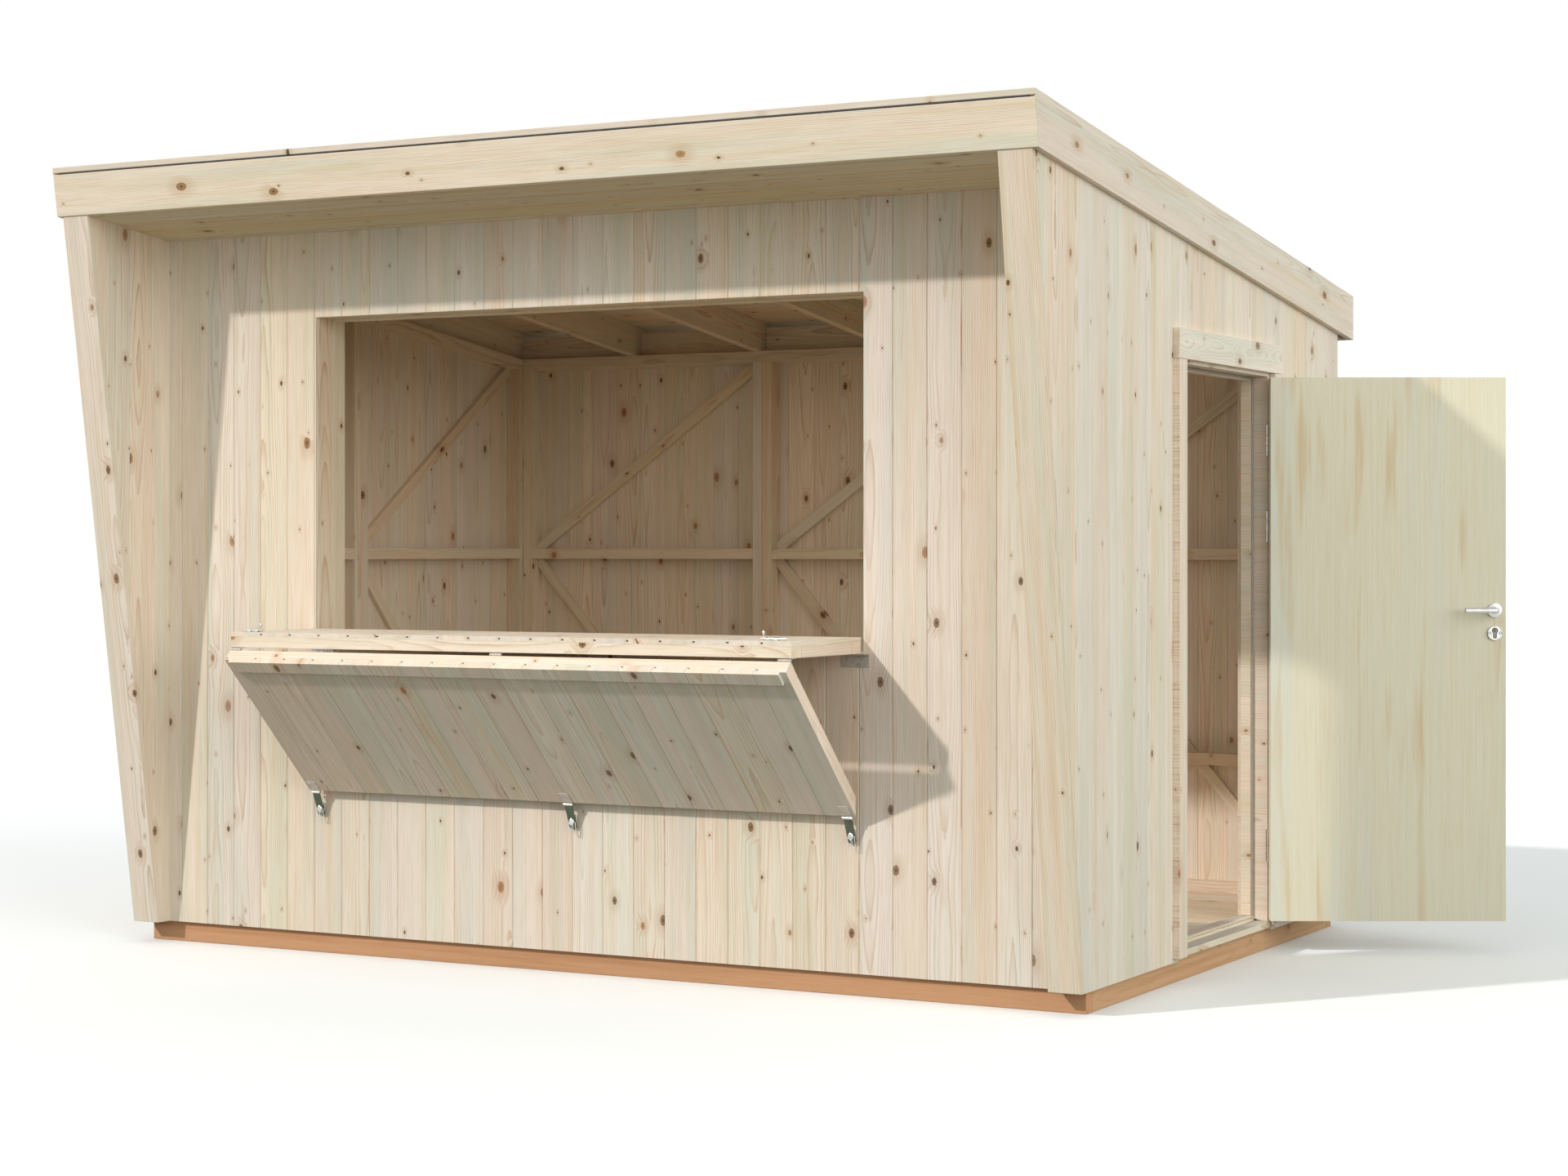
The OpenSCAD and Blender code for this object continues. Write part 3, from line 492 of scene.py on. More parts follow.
# ---- Boarding ----
PITCH_FRONT, PITCH_SIDE = 0.10766, 0.10792
FRONT_SEAM, SIDE_SEAM = Vector((-1.4102, 0, 0)), Vector((0, -1.3917, 0))
for n in ("front_wall_left", "front_wall_right", "front_wall_below", "front_wall_above"):
    boarded(n, Z, -Y, FRONT_SEAM, PITCH_FRONT, "front", wobble=0.0004)
boarded("back_wall", Z, Y, FRONT_SEAM, PITCH_FRONT, "back", wobble=0.0004)
boarded("left_wall", Z, -X, SIDE_SEAM, PITCH_SIDE, "left", wobble=0.0004)
for n in ("right_wall_front", "right_wall_rear", "right_wall_over_door"):
    boarded(n, Z, X, SIDE_SEAM, PITCH_SIDE, "right", wobble=0.0004)
boarded("wing_linings", Z, lambda middle: X if middle.x < 0 else -X, SIDE_SEAM, PITCH_SIDE,
        "wing", wobble=0.0004)
boarded("floor_boards", X, Z, Vector(), 0.137, "floor", FRAMING, section=plain_section)

# The roof falls to the back: its slope, and the way out of its underside
low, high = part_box("roof_deck")
deck = cad_mesh("roof_deck")
roof_up = max((f for f in deck.faces), key=lambda f: f.normal.z).normal.copy()
deck.free()
soffit_low, soffit_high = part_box("soffit_boards")
boarded("roof_deck", X, -roof_up, Vector((0, low.y, 0)), 0.111, "deck", FRAMING)
# The soffit boards take the darker spruce, whose colour is painted shade.
boarded("soffit_boards", X, -roof_up, Vector((0, soffit_high.y, 0)), 0.1082, "soffit",
        SOFFIT_PAINTED_SHADE, wobble=0.0004)

# The folding hatch: its flap hangs down a slope from the counter's edge
flap = cad_mesh("flap_boards")
flap_out = min((f for f in flap.faces if abs(f.normal.x) < 0.1 and f.calc_area() > 0.5),
               key=lambda f: f.normal.z).normal.copy()
flap.free()
flap_down = flap_out.cross(X)
if flap_down.z > 0:
    flap_down = -flap_down
hatch_low, hatch_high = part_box("counter_top")
HATCH_PITCH = 0.108
HATCH_SEAM = Vector((hatch_low.x, 0, 0))


def hatch_section(pitch, thick):
    """Boards whose grooves are deeper than the tongues, as their sawn ends show."""
    return board_section(pitch, thick, 0.0016, room=0.0075)


boarded("counter_top", -Y, Z, HATCH_SEAM, HATCH_PITCH, "counter", section=hatch_section)
boarded("flap_boards", flap_down, flap_out, HATCH_SEAM, HATCH_PITCH, "flap", wobble=0.0003,
        section=hatch_section)
boarded("flap_cover_strip", flap_down, flap_out, HATCH_SEAM, HATCH_PITCH, "flap",
        section=plain_section)

# ---- Timbers ----
timber("base_frame", TREATED, arris=0.002)
for n in ("wall_plates", "wall_studs", "wall_rails", "wall_braces", "window_frame", "rafters",
          "eaves_blocking"):
    timber(n)
for n in ("front_trims", "front_fascia", "drip_strip", "side_fascias",
          "back_fascia", "counter_frame", "flap_frame"):
    timber(n, SPRUCE)
timber("door_casing", CASING, flat=True)
timber("door_threshold", SILL)
for n in ("door_frame", "door_stops"):
    timber(n, SPRUCE, crossed=True)
timber("door_leaf", PLYWOOD, "door", 0.001)

# ---- Metalwork ----
def basis(out, up):
    """A turn that takes z to "out" and y towards "up"."""
    out = out.normalized()
    right = up.cross(out).normalized()
    return Matrix((right, out.cross(right), out)).transposed().to_4x4()


def placed(bm, verts, at, turn):
    bmesh.ops.transform(bm, matrix=Matrix.Translation(at) @ turn, verts=verts)


def lathe(bm, profile, at, turn, steps=32, bored=False):
    """A closed turned solid: "profile" lists (radius, height) from its foot to its top, and
    a bored one has a hole from its last ring down to its first."""
    rings = []
    for r, h in profile:
        if r < 1e-7:
            rings.append([bm.verts.new((0, 0, h))])
        else:
            rings.append([bm.verts.new((r * math.cos(2 * math.pi * i / steps),
                                        r * math.sin(2 * math.pi * i / steps), h))
                          for i in range(steps)])
    for a, b in zip(rings, rings[1:] + rings[:1] if bored else rings[1:]):
        for i in range(steps):
            j = (i + 1) % steps
            if len(a) == 1:
                bm.faces.new((a[0], b[j], b[i]))
            elif len(b) == 1:
                bm.faces.new((a[i], a[j], b[0]))
            else:
                bm.faces.new((a[i], a[j], b[j], b[i]))
    for ring in () if bored else (rings[0], rings[-1]):
        if len(ring) > 1:
            bm.faces.new(ring)
    placed(bm, [v for ring in rings for v in ring], at, turn)


def rod(bm, a, b, r, ease=0.0006, steps=32):
    """A round bar between two points, its ends eased."""
    a, b = Vector(a), Vector(b)
    length = (b - a).length
    up = X if abs((b - a).normalized().dot(X)) < 0.9 else Y
    lathe(bm, [(r - ease, 0), (r, ease), (r, length - ease), (r - ease, length)],
          a, basis(b - a, up), steps)


def sweep(bm, path, r, steps=20):
    """A round wire or bar along a path of points, closed flat at its ends."""
    path = [Vector(p) for p in path]
    side = None
    rings = []
    for i, p in enumerate(path):
        way = (path[min(i + 1, len(path) - 1)] - path[max(i - 1, 0)]).normalized()
        if side is None:
            side = way.orthogonal().normalized()
        side = (side - way * side.dot(way)).normalized()
        other = way.cross(side)
        rings.append([bm.verts.new(p + (side * math.cos(2 * math.pi * k / steps)
                                        + other * math.sin(2 * math.pi * k / steps)) * r)
                      for k in range(steps)])
    for a, b in zip(rings, rings[1:]):
        for k in range(steps):
            j = (k + 1) % steps
            bm.faces.new((a[k], a[j], b[j], b[k]))
    bm.faces.new(rings[0])
    bm.faces.new(rings[-1])


def arc(centre, a, b, start, stop, steps):
    """Points centre + a cos + b sin, over an angle given in degrees."""
    return [centre + a * math.cos(math.radians(start + (stop - start) * i / steps))
            + b * math.sin(math.radians(start + (stop - start) * i / steps))
            for i in range(steps + 1)]


def plate(bm, outline, holes, thick, at, turn, ease=0.0004):
    """A flat plate with eased upper edges: an outline and its holes as (x, y) points."""
    def loop(points, z, grow):
        n = len(points)
        out = []
        for i, p in enumerate(points):
            a, b = Vector(points[i - 1]), Vector(points[(i + 1) % n])
            d = (b - a).normalized()
            out.append(bm.verts.new((p[0] + d.y * grow, p[1] - d.x * grow, z)))
        return out

    made = []
    ends = ([], [])
    for points, sign in [(outline, 1)] + [(h, -1) for h in holes]:
        rings = [loop(points, 0, 0), loop(points, thick - ease, 0),
                 loop(points, thick, -ease * sign)]
        for a, b in zip(rings, rings[1:]):
            for i in range(len(points)):
                j = (i + 1) % len(points)
                bm.faces.new((a[i], a[j], b[j], b[i]))
        for end, ring in zip(ends, (rings[0], rings[-1])):
            end.extend(bm.edges.get((ring[i], ring[i - 1])) for i in range(len(ring)))
        made += [v for ring in rings for v in ring]
    for end in ends:
        bmesh.ops.triangle_fill(bm, edges=end, use_beauty=True)
    placed(bm, made, at, turn)


def rounded(w, h, r, steps=5):
    """A w by h rectangle about the middle with round corners, counter-clockwise."""
    points = []
    for cx, cy, start in ((w / 2 - r, h / 2 - r, 0), (r - w / 2, h / 2 - r, 90),
                          (r - w / 2, r - h / 2, 180), (w / 2 - r, r - h / 2, 270)):
        for i in range(steps + 1):
            t = math.radians(start + 90 * i / steps)
            points.append((cx + r * math.cos(t), cy + r * math.sin(t)))
    return points


def circle(r, cx=0.0, cy=0.0, steps=24):
    return [(cx + r * math.cos(2 * math.pi * i / steps), cy + r * math.sin(2 * math.pi * i / steps))
            for i in range(steps)]


def screw(bm, at, out, r=0.0034, turn=0.0, steps=20):
    """A countersunk screw's head with a cross recess, its face at "at"."""
    arm, w, pit = r * 0.62, r * 0.17, r * 0.9
    cross = []
    for k in range(4):
        c, q = math.cos(k * math.pi / 2 + turn), math.sin(k * math.pi / 2 + turn)
        for x, y in ((arm, -w), (arm, w), (w, w)):
            cross.append((x * c - y * q, x * q + y * c))
    foot = [bm.verts.new((x, y, -0.0004)) for x, y in circle(r, steps=steps)]
    edge = [bm.verts.new((x, y, 0.0001)) for x, y in circle(r, steps=steps)]
    top = [bm.verts.new((x, y, 0.0004)) for x, y in circle(r * 0.86, steps=steps)]
    rim = [bm.verts.new((x, y, 0.0004)) for x, y in cross]
    low = [bm.verts.new((x * 0.7, y * 0.7, 0.0004 - pit)) for x, y in cross]
    for a, b in ((foot, edge), (edge, top), (rim, low)):
        for i in range(len(a)):
            j = (i + 1) % len(a)
            bm.faces.new((a[i], a[j], b[j], b[i]))
    bm.faces.new(foot)
    bm.faces.new(low)
    loop = [bm.edges.new((r_[i], r_[i - 1])) if not bm.edges.get((r_[i], r_[i - 1]))
            else bm.edges.get((r_[i], r_[i - 1])) for r_ in (top, rim) for i in range(len(r_))]
    bmesh.ops.triangle_fill(bm, edges=loop, use_beauty=True)
    up = Z if abs(Vector(out).dot(Z)) < 0.9 else Y
    placed(bm, foot + edge + top + rim + low, Vector(at), basis(Vector(out), up))


def knuckles(bm, a, b, r, parts=5, pin=0.4):
    """A hinge's knuckles between two points, with the pin's ends showing."""
    step = (b - a) / parts
    way = step.normalized()
    for i in range(parts):
        rod(bm, a + step * i + way * 0.0002, a + step * (i + 1) - way * 0.0002, r, 0.0004, 24)
    rod(bm, a + way * 0.00005, b - way * 0.00005, r * pin, 0.0002, 16)


def leaf(bm, heads, w, h, thick, at, out, up, screws):
    """A hinge's flat leaf with round corners, and screws at the given places."""
    turn = basis(out, up)
    holes = [circle(0.0040, x, y, 20) for x, y in screws]
    plate(bm, rounded(w, h, 0.003), holes, thick, at, turn)
    for i, (x, y) in enumerate(screws):
        screw(heads, at + turn.to_3x3() @ Vector((x, y, thick - 0.0012)), out, turn=0.7 * i)


def hatch_metal():
    """Hinges under the sill and along the fold, and the hasps on the flap's lower edge."""
    hinges, heads, hasps, plates, straps, staples = (bmesh.new() for _ in range(6))
    wide_screws = [(-0.034, 0.004), (-0.012, -0.006), (0.012, 0.004), (0.034, -0.006)]
    short_screws = [(-0.013, 0.003), (0.013, 0.003), (0, -0.005)]
    wall = -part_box("hasp_staples")[1].y
    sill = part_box("hatch_hinges")[1].z
    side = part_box("hatch_hinges")[1].x
    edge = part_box("flap_hasps")[1].x
    for x in (-side + 0.046, 0.0, side - 0.046):
        leaf(hinges, heads, 0.092, 0.033, 0.002, Vector((x, -wall, sill - 0.0235)), -Y, Z,
             wide_screws)
        leaf(hinges, heads, 0.092, 0.029, 0.002, Vector((x, -wall - 0.0185, sill)), -Z, Y,
             wide_screws)
        at = Vector((x, -wall - 0.0035, sill - 0.0035))
        knuckles(hinges, at - X * 0.046, at + X * 0.046, 0.0035)
    fold = Vector((0, hatch_low.y, sill - 0.006))
    for x in (-edge + 0.010, 0.0, edge - 0.010):
        at = fold + X * x
        leaf(hinges, heads, 0.040, 0.025, 0.002, Vector((x, at.y + 0.0170, sill)), -Z, Y,
             short_screws)
        leaf(hinges, heads, 0.040, 0.025, 0.002,
             at + flap_down * 0.0170 + flap_out * 0.004, -flap_out, flap_down, short_screws)
        knuckles(hinges, at - X * 0.020, at + X * 0.020, 0.0039)
    finish_piece(hinges, "hatch_hinges_metal", "stall", GALVANISED,
                 ("hatch_hinges",), True)

    # The flap's outer face: how deep it lies and how far down it reaches
    slab = cad_mesh("flap_boards")
    face = max((v.co - fold).dot(flap_out) for v in slab.verts)
    reach = max((v.co - fold).dot(flap_down) for v in slab.verts
                if (v.co - fold).dot(flap_out) > face - 0.0005)
    slab.free()
    middle = sum(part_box("hasp_staples"), Vector()).z / 2
    for x in (-edge + 0.016, 0.0, edge - 0.016):
        foot = fold + X * x + flap_out * face + flap_down * reach
        leaf(plates, heads, 0.032, 0.040, 0.002, foot - flap_down * 0.023, flap_out, flap_down,
             [(-0.009, -0.012), (0.009, -0.012), (-0.009, 0.004), (0.009, 0.004)])
        pivot = foot - Z * 0.005
        knuckles(hasps, pivot - X * 0.016, pivot + X * 0.016, 0.0045, 3)
        lean = math.asin((-wall - 0.007 - pivot.y) / 0.084)
        down = Vector((0, math.sin(lean), -math.cos(lean)))
        out = Vector((0, -math.cos(lean), -math.sin(lean)))
        turn = basis(out, -down)
        outline = [(0.0135, 0.042), (-0.0135, 0.042)]
        outline += [(-0.0135 * math.cos(math.radians(t)),
                     -0.0285 - 0.0135 * math.sin(math.radians(t)))
                    for t in range(0, 181, 12)]
        slot = [(0.0052 * math.cos(math.radians(t)),
                 -0.016 + (0.009 if t < 180 else -0.009) + 0.0052 * math.sin(math.radians(t)))
                for t in range(0, 360, 18)]
        plate(straps, outline, [slot], 0.0024, pivot + down * 0.042 - out * 0.0012, turn, 0.0005)
        # Staple: a plate on the wall, a neck through the strap, an oval head and a clip
        at = Vector((x, -wall, middle))
        plate(staples, rounded(0.010, 0.040, 0.002), [], 0.002, at, basis(-Y, Z))
        for dz in (-0.014, 0.014):
            screw(staples, at + Z * dz - Y * 0.0019, -Y, 0.0026, dz * 50)
        rod(staples, at - Y * 0.001, at - Y * 0.018, 0.0036, 0.0004, 24)
        head = at - Y * 0.0205
        ball = bmesh.ops.create_uvsphere(staples, u_segments=28, v_segments=16, radius=1.0)["verts"]
        oval = Matrix.Diagonal((0.0088, 0.0056, 0.0128, 1))
        bmesh.ops.transform(staples, verts=ball, matrix=Matrix.Translation(head) @ oval)
        r = 0.0011
        # The clip: a leg through the head, a loop hanging on the left, a long bow on the right
        loop = [head + Vector((-0.0066, -0.0010, 0.006)), head + Vector((-0.0084, -0.0030, -0.008))]
        loop += arc(head + Vector((-0.0022, -0.0040, -0.022)), -X * 0.0062, -Z * 0.007, 0, 180, 12)
        loop += [head + Vector((0.0046, -0.0052, -0.010)), head + Vector((0.0040, -0.0052, 0.002))]
        sweep(staples, loop, r, 12)
        tail = [head + Vector((-0.0082, 0, 0.002)), head + Vector((0.0075, 0, 0.002))]
        tail += arc(head + Vector((0.0075, 0, -0.003)), Z * 0.005, X * 0.005, 15, 90, 6)
        tail += arc(head + Vector((0.0100, 0.0020, -0.030)), X * 0.0048, -Z * 0.006, 0, 180, 10)
        tail += [head + Vector((0.0056, 0.0010, -0.020)), head + Vector((0.0066, -0.0005, -0.012))]
        sweep(staples, tail, r, 12)
    finish_piece(hasps, "flap_hasps_metal", "stall", ZINC, ("flap_hasps",), True)
    finish_piece(plates, "hasp_leaves_metal", "stall", GALVANISED, smooth=True)
    # The straps' dark colour is painted reflection.
    finish_piece(straps, "hasp_straps_metal", "stall", STRAP_PAINTED_REFLECTION, smooth=True)
    finish_piece(heads, "hatch_screws", "stall", ZINC, smooth=True)
    finish_piece(staples, "hasp_staples_metal", "stall", ZINC,
                 ("hasp_staples",), True)


def bolts():
    """Barrel bolts on the counter's outer corners: plate, guides, bolt and upright knob."""
    lo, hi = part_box("barrel_bolts")
    top = lo.z
    y = (lo.y + hi.y) / 2
    both = bmesh.new()
    for side in (-1, 1):
        bm = bmesh.new()
        at = Vector((hi.x - 0.075, y, top))
        plate(bm, rounded(0.040, 0.024, 0.003), [], 0.0015, at + X * 0.030, Matrix.Identity(4))
        for x in (0.026, 0.034):
            for dy in (-0.0085, 0.0085):
                screw(bm, at + Vector((x, dy, 0.0013)), Z, 0.0026, x * 60)
        for x in (0.0105, 0.0375):
            arch = [(-0.0080, 0.0014), (0.0080, 0.0014), (0.0080, 0.0026), (0.0052, 0.0026)]
            arch += [(0.0050 * math.cos(math.radians(t)),
                      0.0052 + 0.0043 * math.sin(math.radians(t)))
                     for t in range(0, 181, 15)]
            arch += [(-0.0052, 0.0026), (-0.0080, 0.0026)]
            plate(bm, arch, [circle(0.0032, 0, 0.0054, 20)], 0.012, at + X * x, basis(X, Z), 0.0003)
        rod(bm, at + Vector((-0.005, 0, 0.0054)), at + Vector((0.075, 0, 0.0054)),
            0.0030, 0.0008, 28)
        lathe(bm, [(0.0022, 0), (0.0022, 0.0105), (0.0030, 0.0125), (0.0040, 0.0155),
                   (0.0042, 0.0180), (0.0036, 0.0208), (0.0022, 0.0223), (0, 0.0226)],
              at + Vector((0.002, 0, 0.0054)), Matrix.Identity(4), 28)
        if side < 0:
            bmesh.ops.transform(bm, matrix=Matrix.Diagonal((-1, 1, 1, 1)), verts=bm.verts)
            bmesh.ops.reverse_faces(bm, faces=bm.faces)
        part = bpy.data.meshes.new("part")
        bm.to_mesh(part)
        both.from_mesh(part)
        bpy.data.meshes.remove(part)
        bm.free()
    finish_piece(both, "barrel_bolts_metal", "stall", ZINC, ("barrel_bolts",), True)


# Barrel hinges of the door: knuckles with round caps, and the pins that go into the wood
door_joint, lever_joint = (next(j for j in frame["joints"] if j["name"] == n)
                           for n in ("door_hinge", "lever_turn"))
HINGE = Vector(door_joint["pos_m"])
OPEN = -math.radians(door_joint["range_deg"][0])
SWING = (Matrix.Translation(HINGE) @ Matrix.Rotation(OPEN, 4, "Z")
         @ Matrix.Translation(-HINGE))


def barrel_hinges(node, body, thirds, out, swing):
    """Knuckles of 100 mm barrel hinges. "out" is the way from the barrel into the wood."""
    r, tall = 0.004, 0.1
    leaf_z = HINGE.z
    bm = bmesh.new()
    for z in (leaf_z + 0.186, leaf_z + 1.2, leaf_z + 1.474):
        for third in thirds:
            z0, z1 = z + third * tall / 3, z + (third + 1) * tall / 3 - 0.001
            e = 0.0005
            profile = [(r - e, z0), (r, z0 + e), (r, z1 - e), (r - e, z1)]
            if third == 0:
                profile[:2] = [(0, z0 - 0.0030), (0.0016, z0 - 0.0028), (0.0030, z0 - 0.0016),
                               (0.0036, z0), (r, z0 + e)]
            if third == 2:
                profile[2:] = [(r, z1 - e), (0.0036, z1), (0.0030, z1 + 0.0016),
                               (0.0016, z1 + 0.0028), (0, z1 + 0.0030)]
            lathe(bm, profile, Vector((HINGE.x, HINGE.y, 0)), Matrix.Identity(4))
            mid = Vector((HINGE.x, HINGE.y, (z0 + z1) / 2))
            into = Vector((-1, out, 0)).normalized()
            for dz in (-0.008, 0.008):
                rod(bm, mid + Z * dz + into * 0.003, mid + Z * dz + into * 0.0085,
                    0.0022, 0.0003, 16)
    if swing:
        bmesh.ops.transform(bm, matrix=SWING, verts=bm.verts)
    return finish_piece(bm, node + "_barrels", body, ZINC, (node,), smooth=True)


def door_furniture():
    """Round roses and key escutcheons on both faces, and the levers through the leaf."""
    lever_at = SWING.inverted() @ Vector(lever_joint["pos_m"])
    leaf_lo, leaf_hi = HINGE.x - 0.040, HINGE.x
    drop, rose_r, rose_t, out = 0.072, 0.023, 0.008, 0.048
    roses, levers, screws, plugs = (bmesh.new() for _ in range(4))
    key = []
    for t in range(0, 21):                      # round head of the key hole
        a = math.radians(-54 + 288 * t / 20)
        key.append((0.0086 * math.cos(a), 0.0075 + 0.0086 * math.sin(a)))
    key += [(-0.0051, -0.013), (-0.0036, -0.0158), (0, -0.0167), (0.0036, -0.0158),
            (0.0051, -0.013)]
    for face, way in ((leaf_lo, -1), (leaf_hi, 1)):
        turn = basis(X * way, Z)
        at = Vector((face, lever_at.y, lever_at.z))
        lathe(roses, [(0.0105, 0), (rose_r - 0.0006, 0), (rose_r, 0.0006),
                      (rose_r, rose_t - 0.0032), (rose_r - 0.0007, rose_t - 0.0018),
                      (rose_r - 0.0030, rose_t - 0.0008), (0.0125, rose_t - 0.0004),
                      (0.0118, rose_t), (0.0105, rose_t)],
              at, turn, 64, bored=True)
        lock = at - Z * drop
        rim = circle(rose_r, steps=64)
        holes = [circle(0.0036, side * 0.0165, 0, 20) for side in (-1, 1)]
        plate(roses, rim, [key] + holes, rose_t - 0.001, lock, turn, 0.0012)
        # The lock's cylinder, with its key slot. Its dark colour is painted shade for the shade
        # inside the key hole.
        inner = [(x * 0.86, 0.0004 + y * 0.88) for x, y in key]
        slot = rounded(0.0022, 0.0085, 0.0010, 3)
        slot = [(x, y + 0.0075) for x, y in slot]
        plate(plugs, inner, [slot], rose_t - 0.0022, lock, turn, 0.0004)
        for side in (-1, 1):
            screw(screws, lock + Y * side * 0.0165 + X * way * (rose_t - 0.0024), X * way, 0.0031,
                  0.4 * side)
        # Lever: a neck, a tight bend and a straight grip towards the hinges
        r, bend = 0.0080, 0.013
        neck = at + X * way * 0.0002
        turn_at = at + X * way * (out - bend) + Y * bend
        path = [neck, at + X * way * (out - bend)]
        path += arc(turn_at, -Y * bend, X * way * bend, 0, 90, 10)[1:]
        path += [turn_at + X * way * bend + Y * (0.102 - bend) * k / 4 for k in range(1, 5)]
        tip = path[-1]
        sweep(levers, path, r, 28)
        lathe(levers, [(r - 0.0004, -0.0004), (r, 0), (r, 0.0012), (r - 0.0009, 0.0022),
                       (r - 0.0026, 0.0026), (0, 0.0026)], tip - Y * 0.0004, basis(Y, X), 28)
        lathe(levers, [(0.0092, 0), (0.0098, 0.0006), (0.0098, 0.0032), (0.0090, 0.0042),
                       (r, 0.0046), (r - 0.002, 0.0046)],
              at + X * way * (rose_t + 0.0002), turn, 40)
    for bm in (roses, levers, screws, plugs):
        bmesh.ops.transform(bm, matrix=SWING, verts=bm.verts)
    finish_piece(roses, "round_roses", "door", SATIN, ("handle_roses",), True)
    finish_piece(screws, "rose_screws", "door", SATIN, smooth=True)
    finish_piece(plugs, "lock_cylinders", "door", LOCK_PAINTED_SHADE, smooth=True)
    finish_piece(levers, "levers", "lever", SATIN, ("lever_handles",), True)


def seal():
    """A soft lipped seal round the inside of the door's stops."""
    lo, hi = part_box("door_stops")
    x0 = hi.x
    outer, base, top = (hi.y - lo.y) / 2 - 0.0002, lo.z, hi.z - 0.0002
    mid = (hi.y + lo.y) / 2
    lip = [(0.0, 0.0), (0.0042, 0.0), (0.0072, 0.0022), (0.0078, 0.0046), (0.0066, 0.0070),
           (0.0038, 0.0086), (0.0, 0.0092)]
    bm = bmesh.new()
    rows = []
    for y, z, iy, iz in ((mid - outer, base, 1, 0), (mid - outer, top, 1, -1),
                         (mid + outer, top, -1, -1), (mid + outer, base, -1, 0)):
        rows.append([bm.verts.new((x0 + a, y + iy * b, z + iz * b)) for a, b in lip])
    for a, b in zip(rows, rows[1:]):
        for i in range(len(lip)):
            j = (i + 1) % len(lip)
            bm.faces.new((a[i], a[j], b[j], b[i]))
    bm.faces.new(rows[0])
    bm.faces.new(rows[-1])
    return finish_piece(bm, "door_seal", "stall", RUBBER)


def sill_strip():
    """A planed strip on the threshold's inner step, and the bead that the leaf closes on."""
    lo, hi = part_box("door_threshold")
    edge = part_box("door_stops")[1].x + 0.008
    strip, bead = bmesh.new(), bmesh.new()
    profile = [(-0.0145, 0), (-0.0140, 0.0011), (-0.0008, 0.0013), (0.0004, 0.0004),
               (0.0004, -0.0004), (0, -0.0004), (0, 0)]
    ends = (lo.y + 0.012, hi.y - 0.012)
    rows = [[strip.verts.new((edge + a, y, hi.z + b)) for a, b in profile] for y in ends]
    for i in range(len(profile)):
        j = (i + 1) % len(profile)
        strip.faces.new((rows[0][i], rows[0][j], rows[1][j], rows[1][i]))
    strip.faces.new(rows[0])
    strip.faces.new(rows[1])
    layers = grain_layers(strip)
    middle = Vector((edge, (lo.y + hi.y) / 2, hi.z))
    paint_grain(strip.verts, layers, random.Random("sill strip"), middle, X, Z, Y, 0.0075)
    finish_piece(strip, "sill_strip", "stall", SPRUCE)
    start, stop = ((edge + 0.0002, y, hi.z - 0.004) for y in ends)
    rod(bead, start, stop, 0.0013, 0.0003, 16)
    finish_piece(bead, "sill_bead", "stall", RUBBER, smooth=True)


sill_strip()
barrel_hinges("frame_hinges", "stall", (0, 2), 1, False)
barrel_hinges("leaf_hinges", "door", (1,), -1, True)
door_furniture()
seal()
hatch_metal()
bolts()


def lapped(pitch, thick):
    """A strip of felt whose lower edge lies over the next one down the slope."""
    return [(0, -0.0016), (pitch - 0.0006, -0.0003), (pitch, -0.0009), (pitch, -thick), (0, -thick)]


boarded("roof_felt", X, roof_up, Vector((0, 0.31, 0)), 0.93, "felt", FELT, lapped)

# ---- Floor, light and camera ----
def stage_floor():
    """A pale floor, white where the camera or a reflection sees it and darker to the light."""
    g = Graph("studio_floor")
    path = g.node("ShaderNodeLightPath")
    seen = g.math("MAXIMUM", path.outputs["Is Camera Ray"], path.outputs["Is Glossy Ray"])
    g.put(g.mix(seen, rgb("#666A61"), rgb("#FFFFFF")), g.shader.inputs["Base Color"])
    g.shader.inputs["Roughness"].default_value = 0.9
    g.shader.inputs["Specular IOR Level"].default_value = 0.1
    bm = bmesh.new()
    bmesh.ops.create_grid(bm, x_segments=1, y_segments=1, size=60)
    for v in bm.verts:
        v.co.z = -0.0005
    mesh = bpy.data.meshes.new("studio_floor")
    bm.to_mesh(mesh)
    bm.free()
    mesh.materials.append(g.mat)
    obj = bpy.data.objects.new("studio_floor", mesh)
    bpy.context.scene.collection.objects.link(obj)


SKY_STRENGTH = 0.66
ROOM_LAMP_WATTS = 3.9


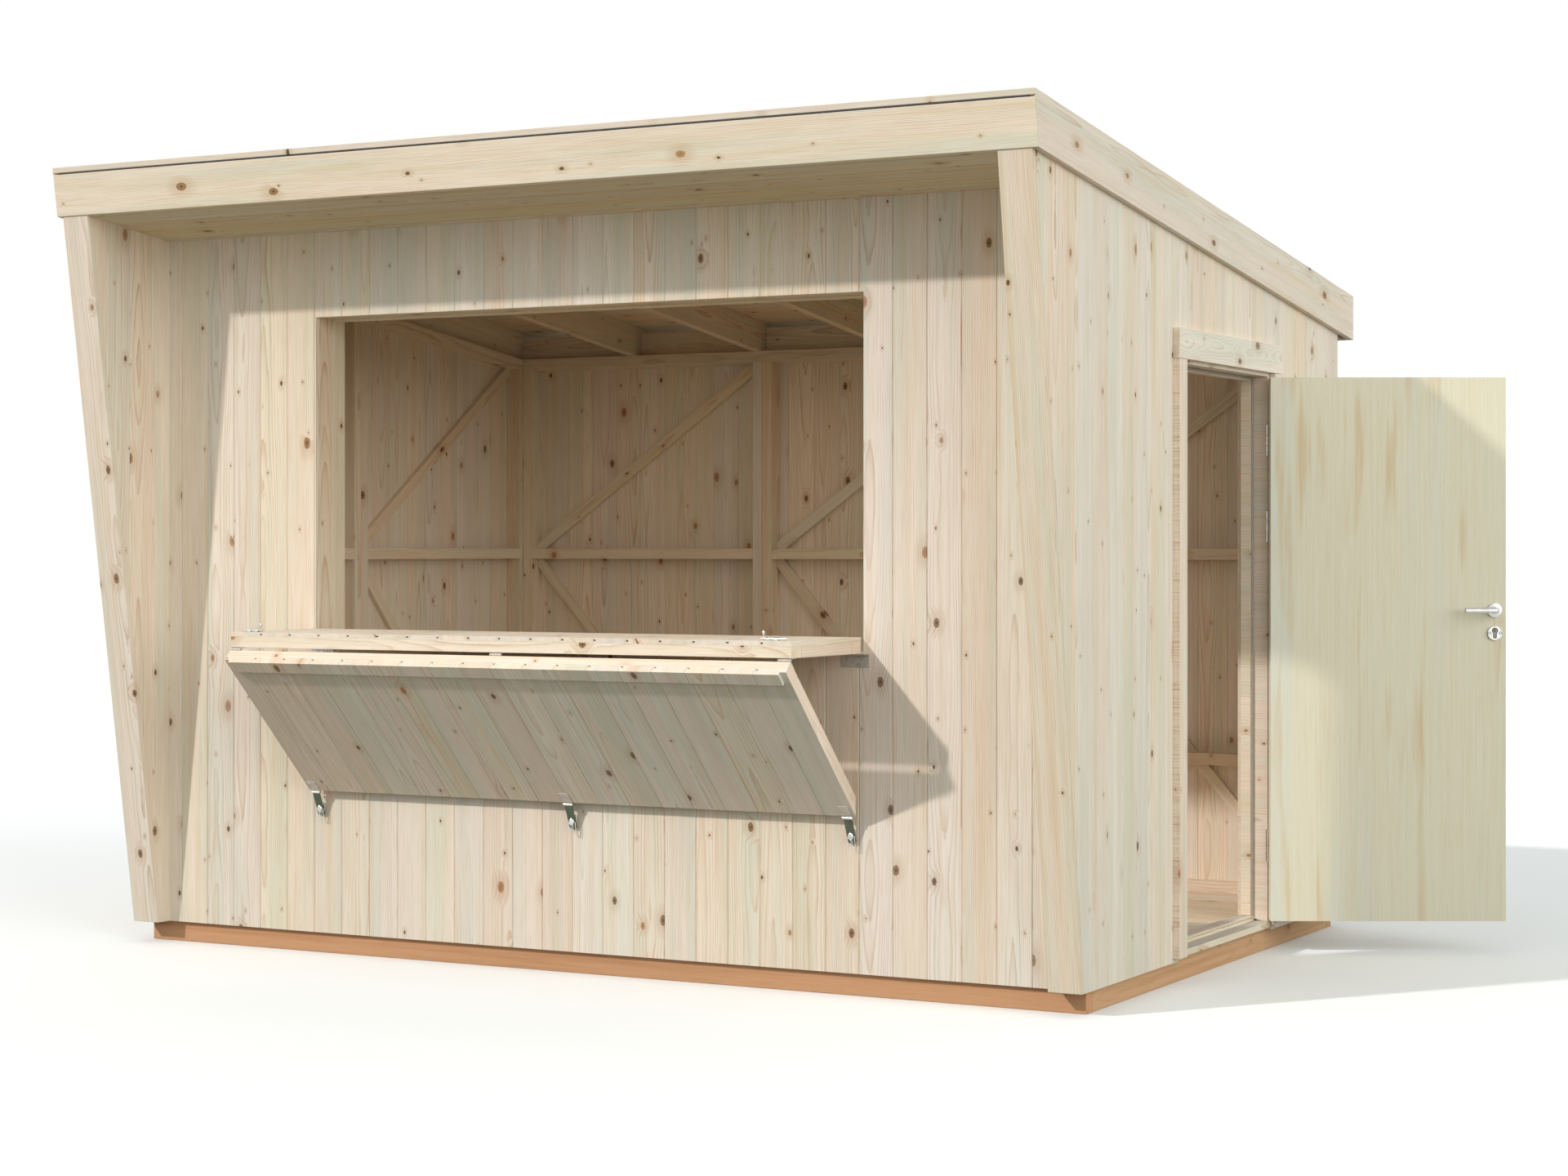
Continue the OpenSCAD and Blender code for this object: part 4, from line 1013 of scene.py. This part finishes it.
def sky():
    """Even pale light, and plain white where the camera or a reflection sees it."""
    world = bpy.data.worlds.new("studio")
    bpy.context.scene.world = world
    world.use_nodes = True
    tree = world.node_tree
    path = tree.nodes.new("ShaderNodeLightPath")
    seen = tree.nodes.new("ShaderNodeMath")
    seen.operation = "MAXIMUM"
    also = tree.nodes.new("ShaderNodeMath")
    also.operation = "MAXIMUM"
    tree.links.new(path.outputs["Is Camera Ray"], seen.inputs[0])
    tree.links.new(path.outputs["Is Glossy Ray"], seen.inputs[1])
    tree.links.new(seen.outputs[0], also.inputs[0])
    tree.links.new(path.outputs["Is Transmission Ray"], also.inputs[1])
    light = tree.nodes.new("ShaderNodeBackground")
    white = tree.nodes.new("ShaderNodeBackground")
    both = tree.nodes.new("ShaderNodeMixShader")
    light.inputs["Color"].default_value = (0.92, 0.97, 0.97, 1)
    light.inputs["Strength"].default_value = SKY_STRENGTH
    white.inputs["Color"].default_value = (1, 1, 1, 1)
    white.inputs["Strength"].default_value = 1.0
    tree.links.new(also.outputs[0], both.inputs[0])
    tree.links.new(light.outputs[0], both.inputs[1])
    tree.links.new(white.outputs[0], both.inputs[2])
    tree.links.new(both.outputs[0], tree.nodes["World Output"].inputs["Surface"])


def sun(name, energy, spread, colour, travel):
    """A distant lamp: "travel" is the way its light goes, "spread" how soft it is."""
    lamp = bpy.data.lights.new(name, "SUN")
    lamp.energy = energy
    lamp.angle = math.radians(spread)
    lamp.color = colour
    obj = bpy.data.objects.new(name, lamp)
    obj.rotation_euler = Vector(travel).to_track_quat("-Z", "Y").to_euler()
    bpy.context.scene.collection.objects.link(obj)


def lamp():
    """A large soft lamp under the rafters, so that the room is not left in the dark."""
    light = bpy.data.lights.new("room_lamp", "AREA")
    light.shape = "RECTANGLE"
    light.size, light.size_y = 2.4, 1.2
    light.energy = ROOM_LAMP_WATTS
    light.color = (1.0, 0.86, 0.70)
    obj = bpy.data.objects.new("room_lamp", light)
    obj.location = (0, 0.0, 2.0)
    obj.visible_camera = obj.visible_glossy = False
    bpy.context.scene.collection.objects.link(obj)


LENS_MM = 67.07
LENS_SHIFT = -0.0241
EYE = (4.7467, -8.5230, 1.2751)
HEADING = 28.484                                # degrees the view is turned from +Y


def camera():
    """The camera that took the photo: level, turned from the stall's front."""
    cam = bpy.data.cameras.new("photo")
    cam.sensor_width = 36
    cam.lens = LENS_MM
    cam.shift_y = LENS_SHIFT
    obj = bpy.data.objects.new("photo", cam)
    obj.location = EYE
    obj.rotation_euler = (math.radians(90), 0, math.radians(HEADING))
    bpy.context.scene.collection.objects.link(obj)
    bpy.context.scene.camera = obj


stage_floor()
sky()
lamp()
sun("key", 1.80, 2.0, (1.0, 0.975, 0.95), (0.46, 0.71, -0.53))
sun("fill", 1.93, 60, (0.96, 1.0, 0.97), (-0.93, 0.33, -0.20))
camera()
bpy.context.scene.view_settings.view_transform = "Standard"
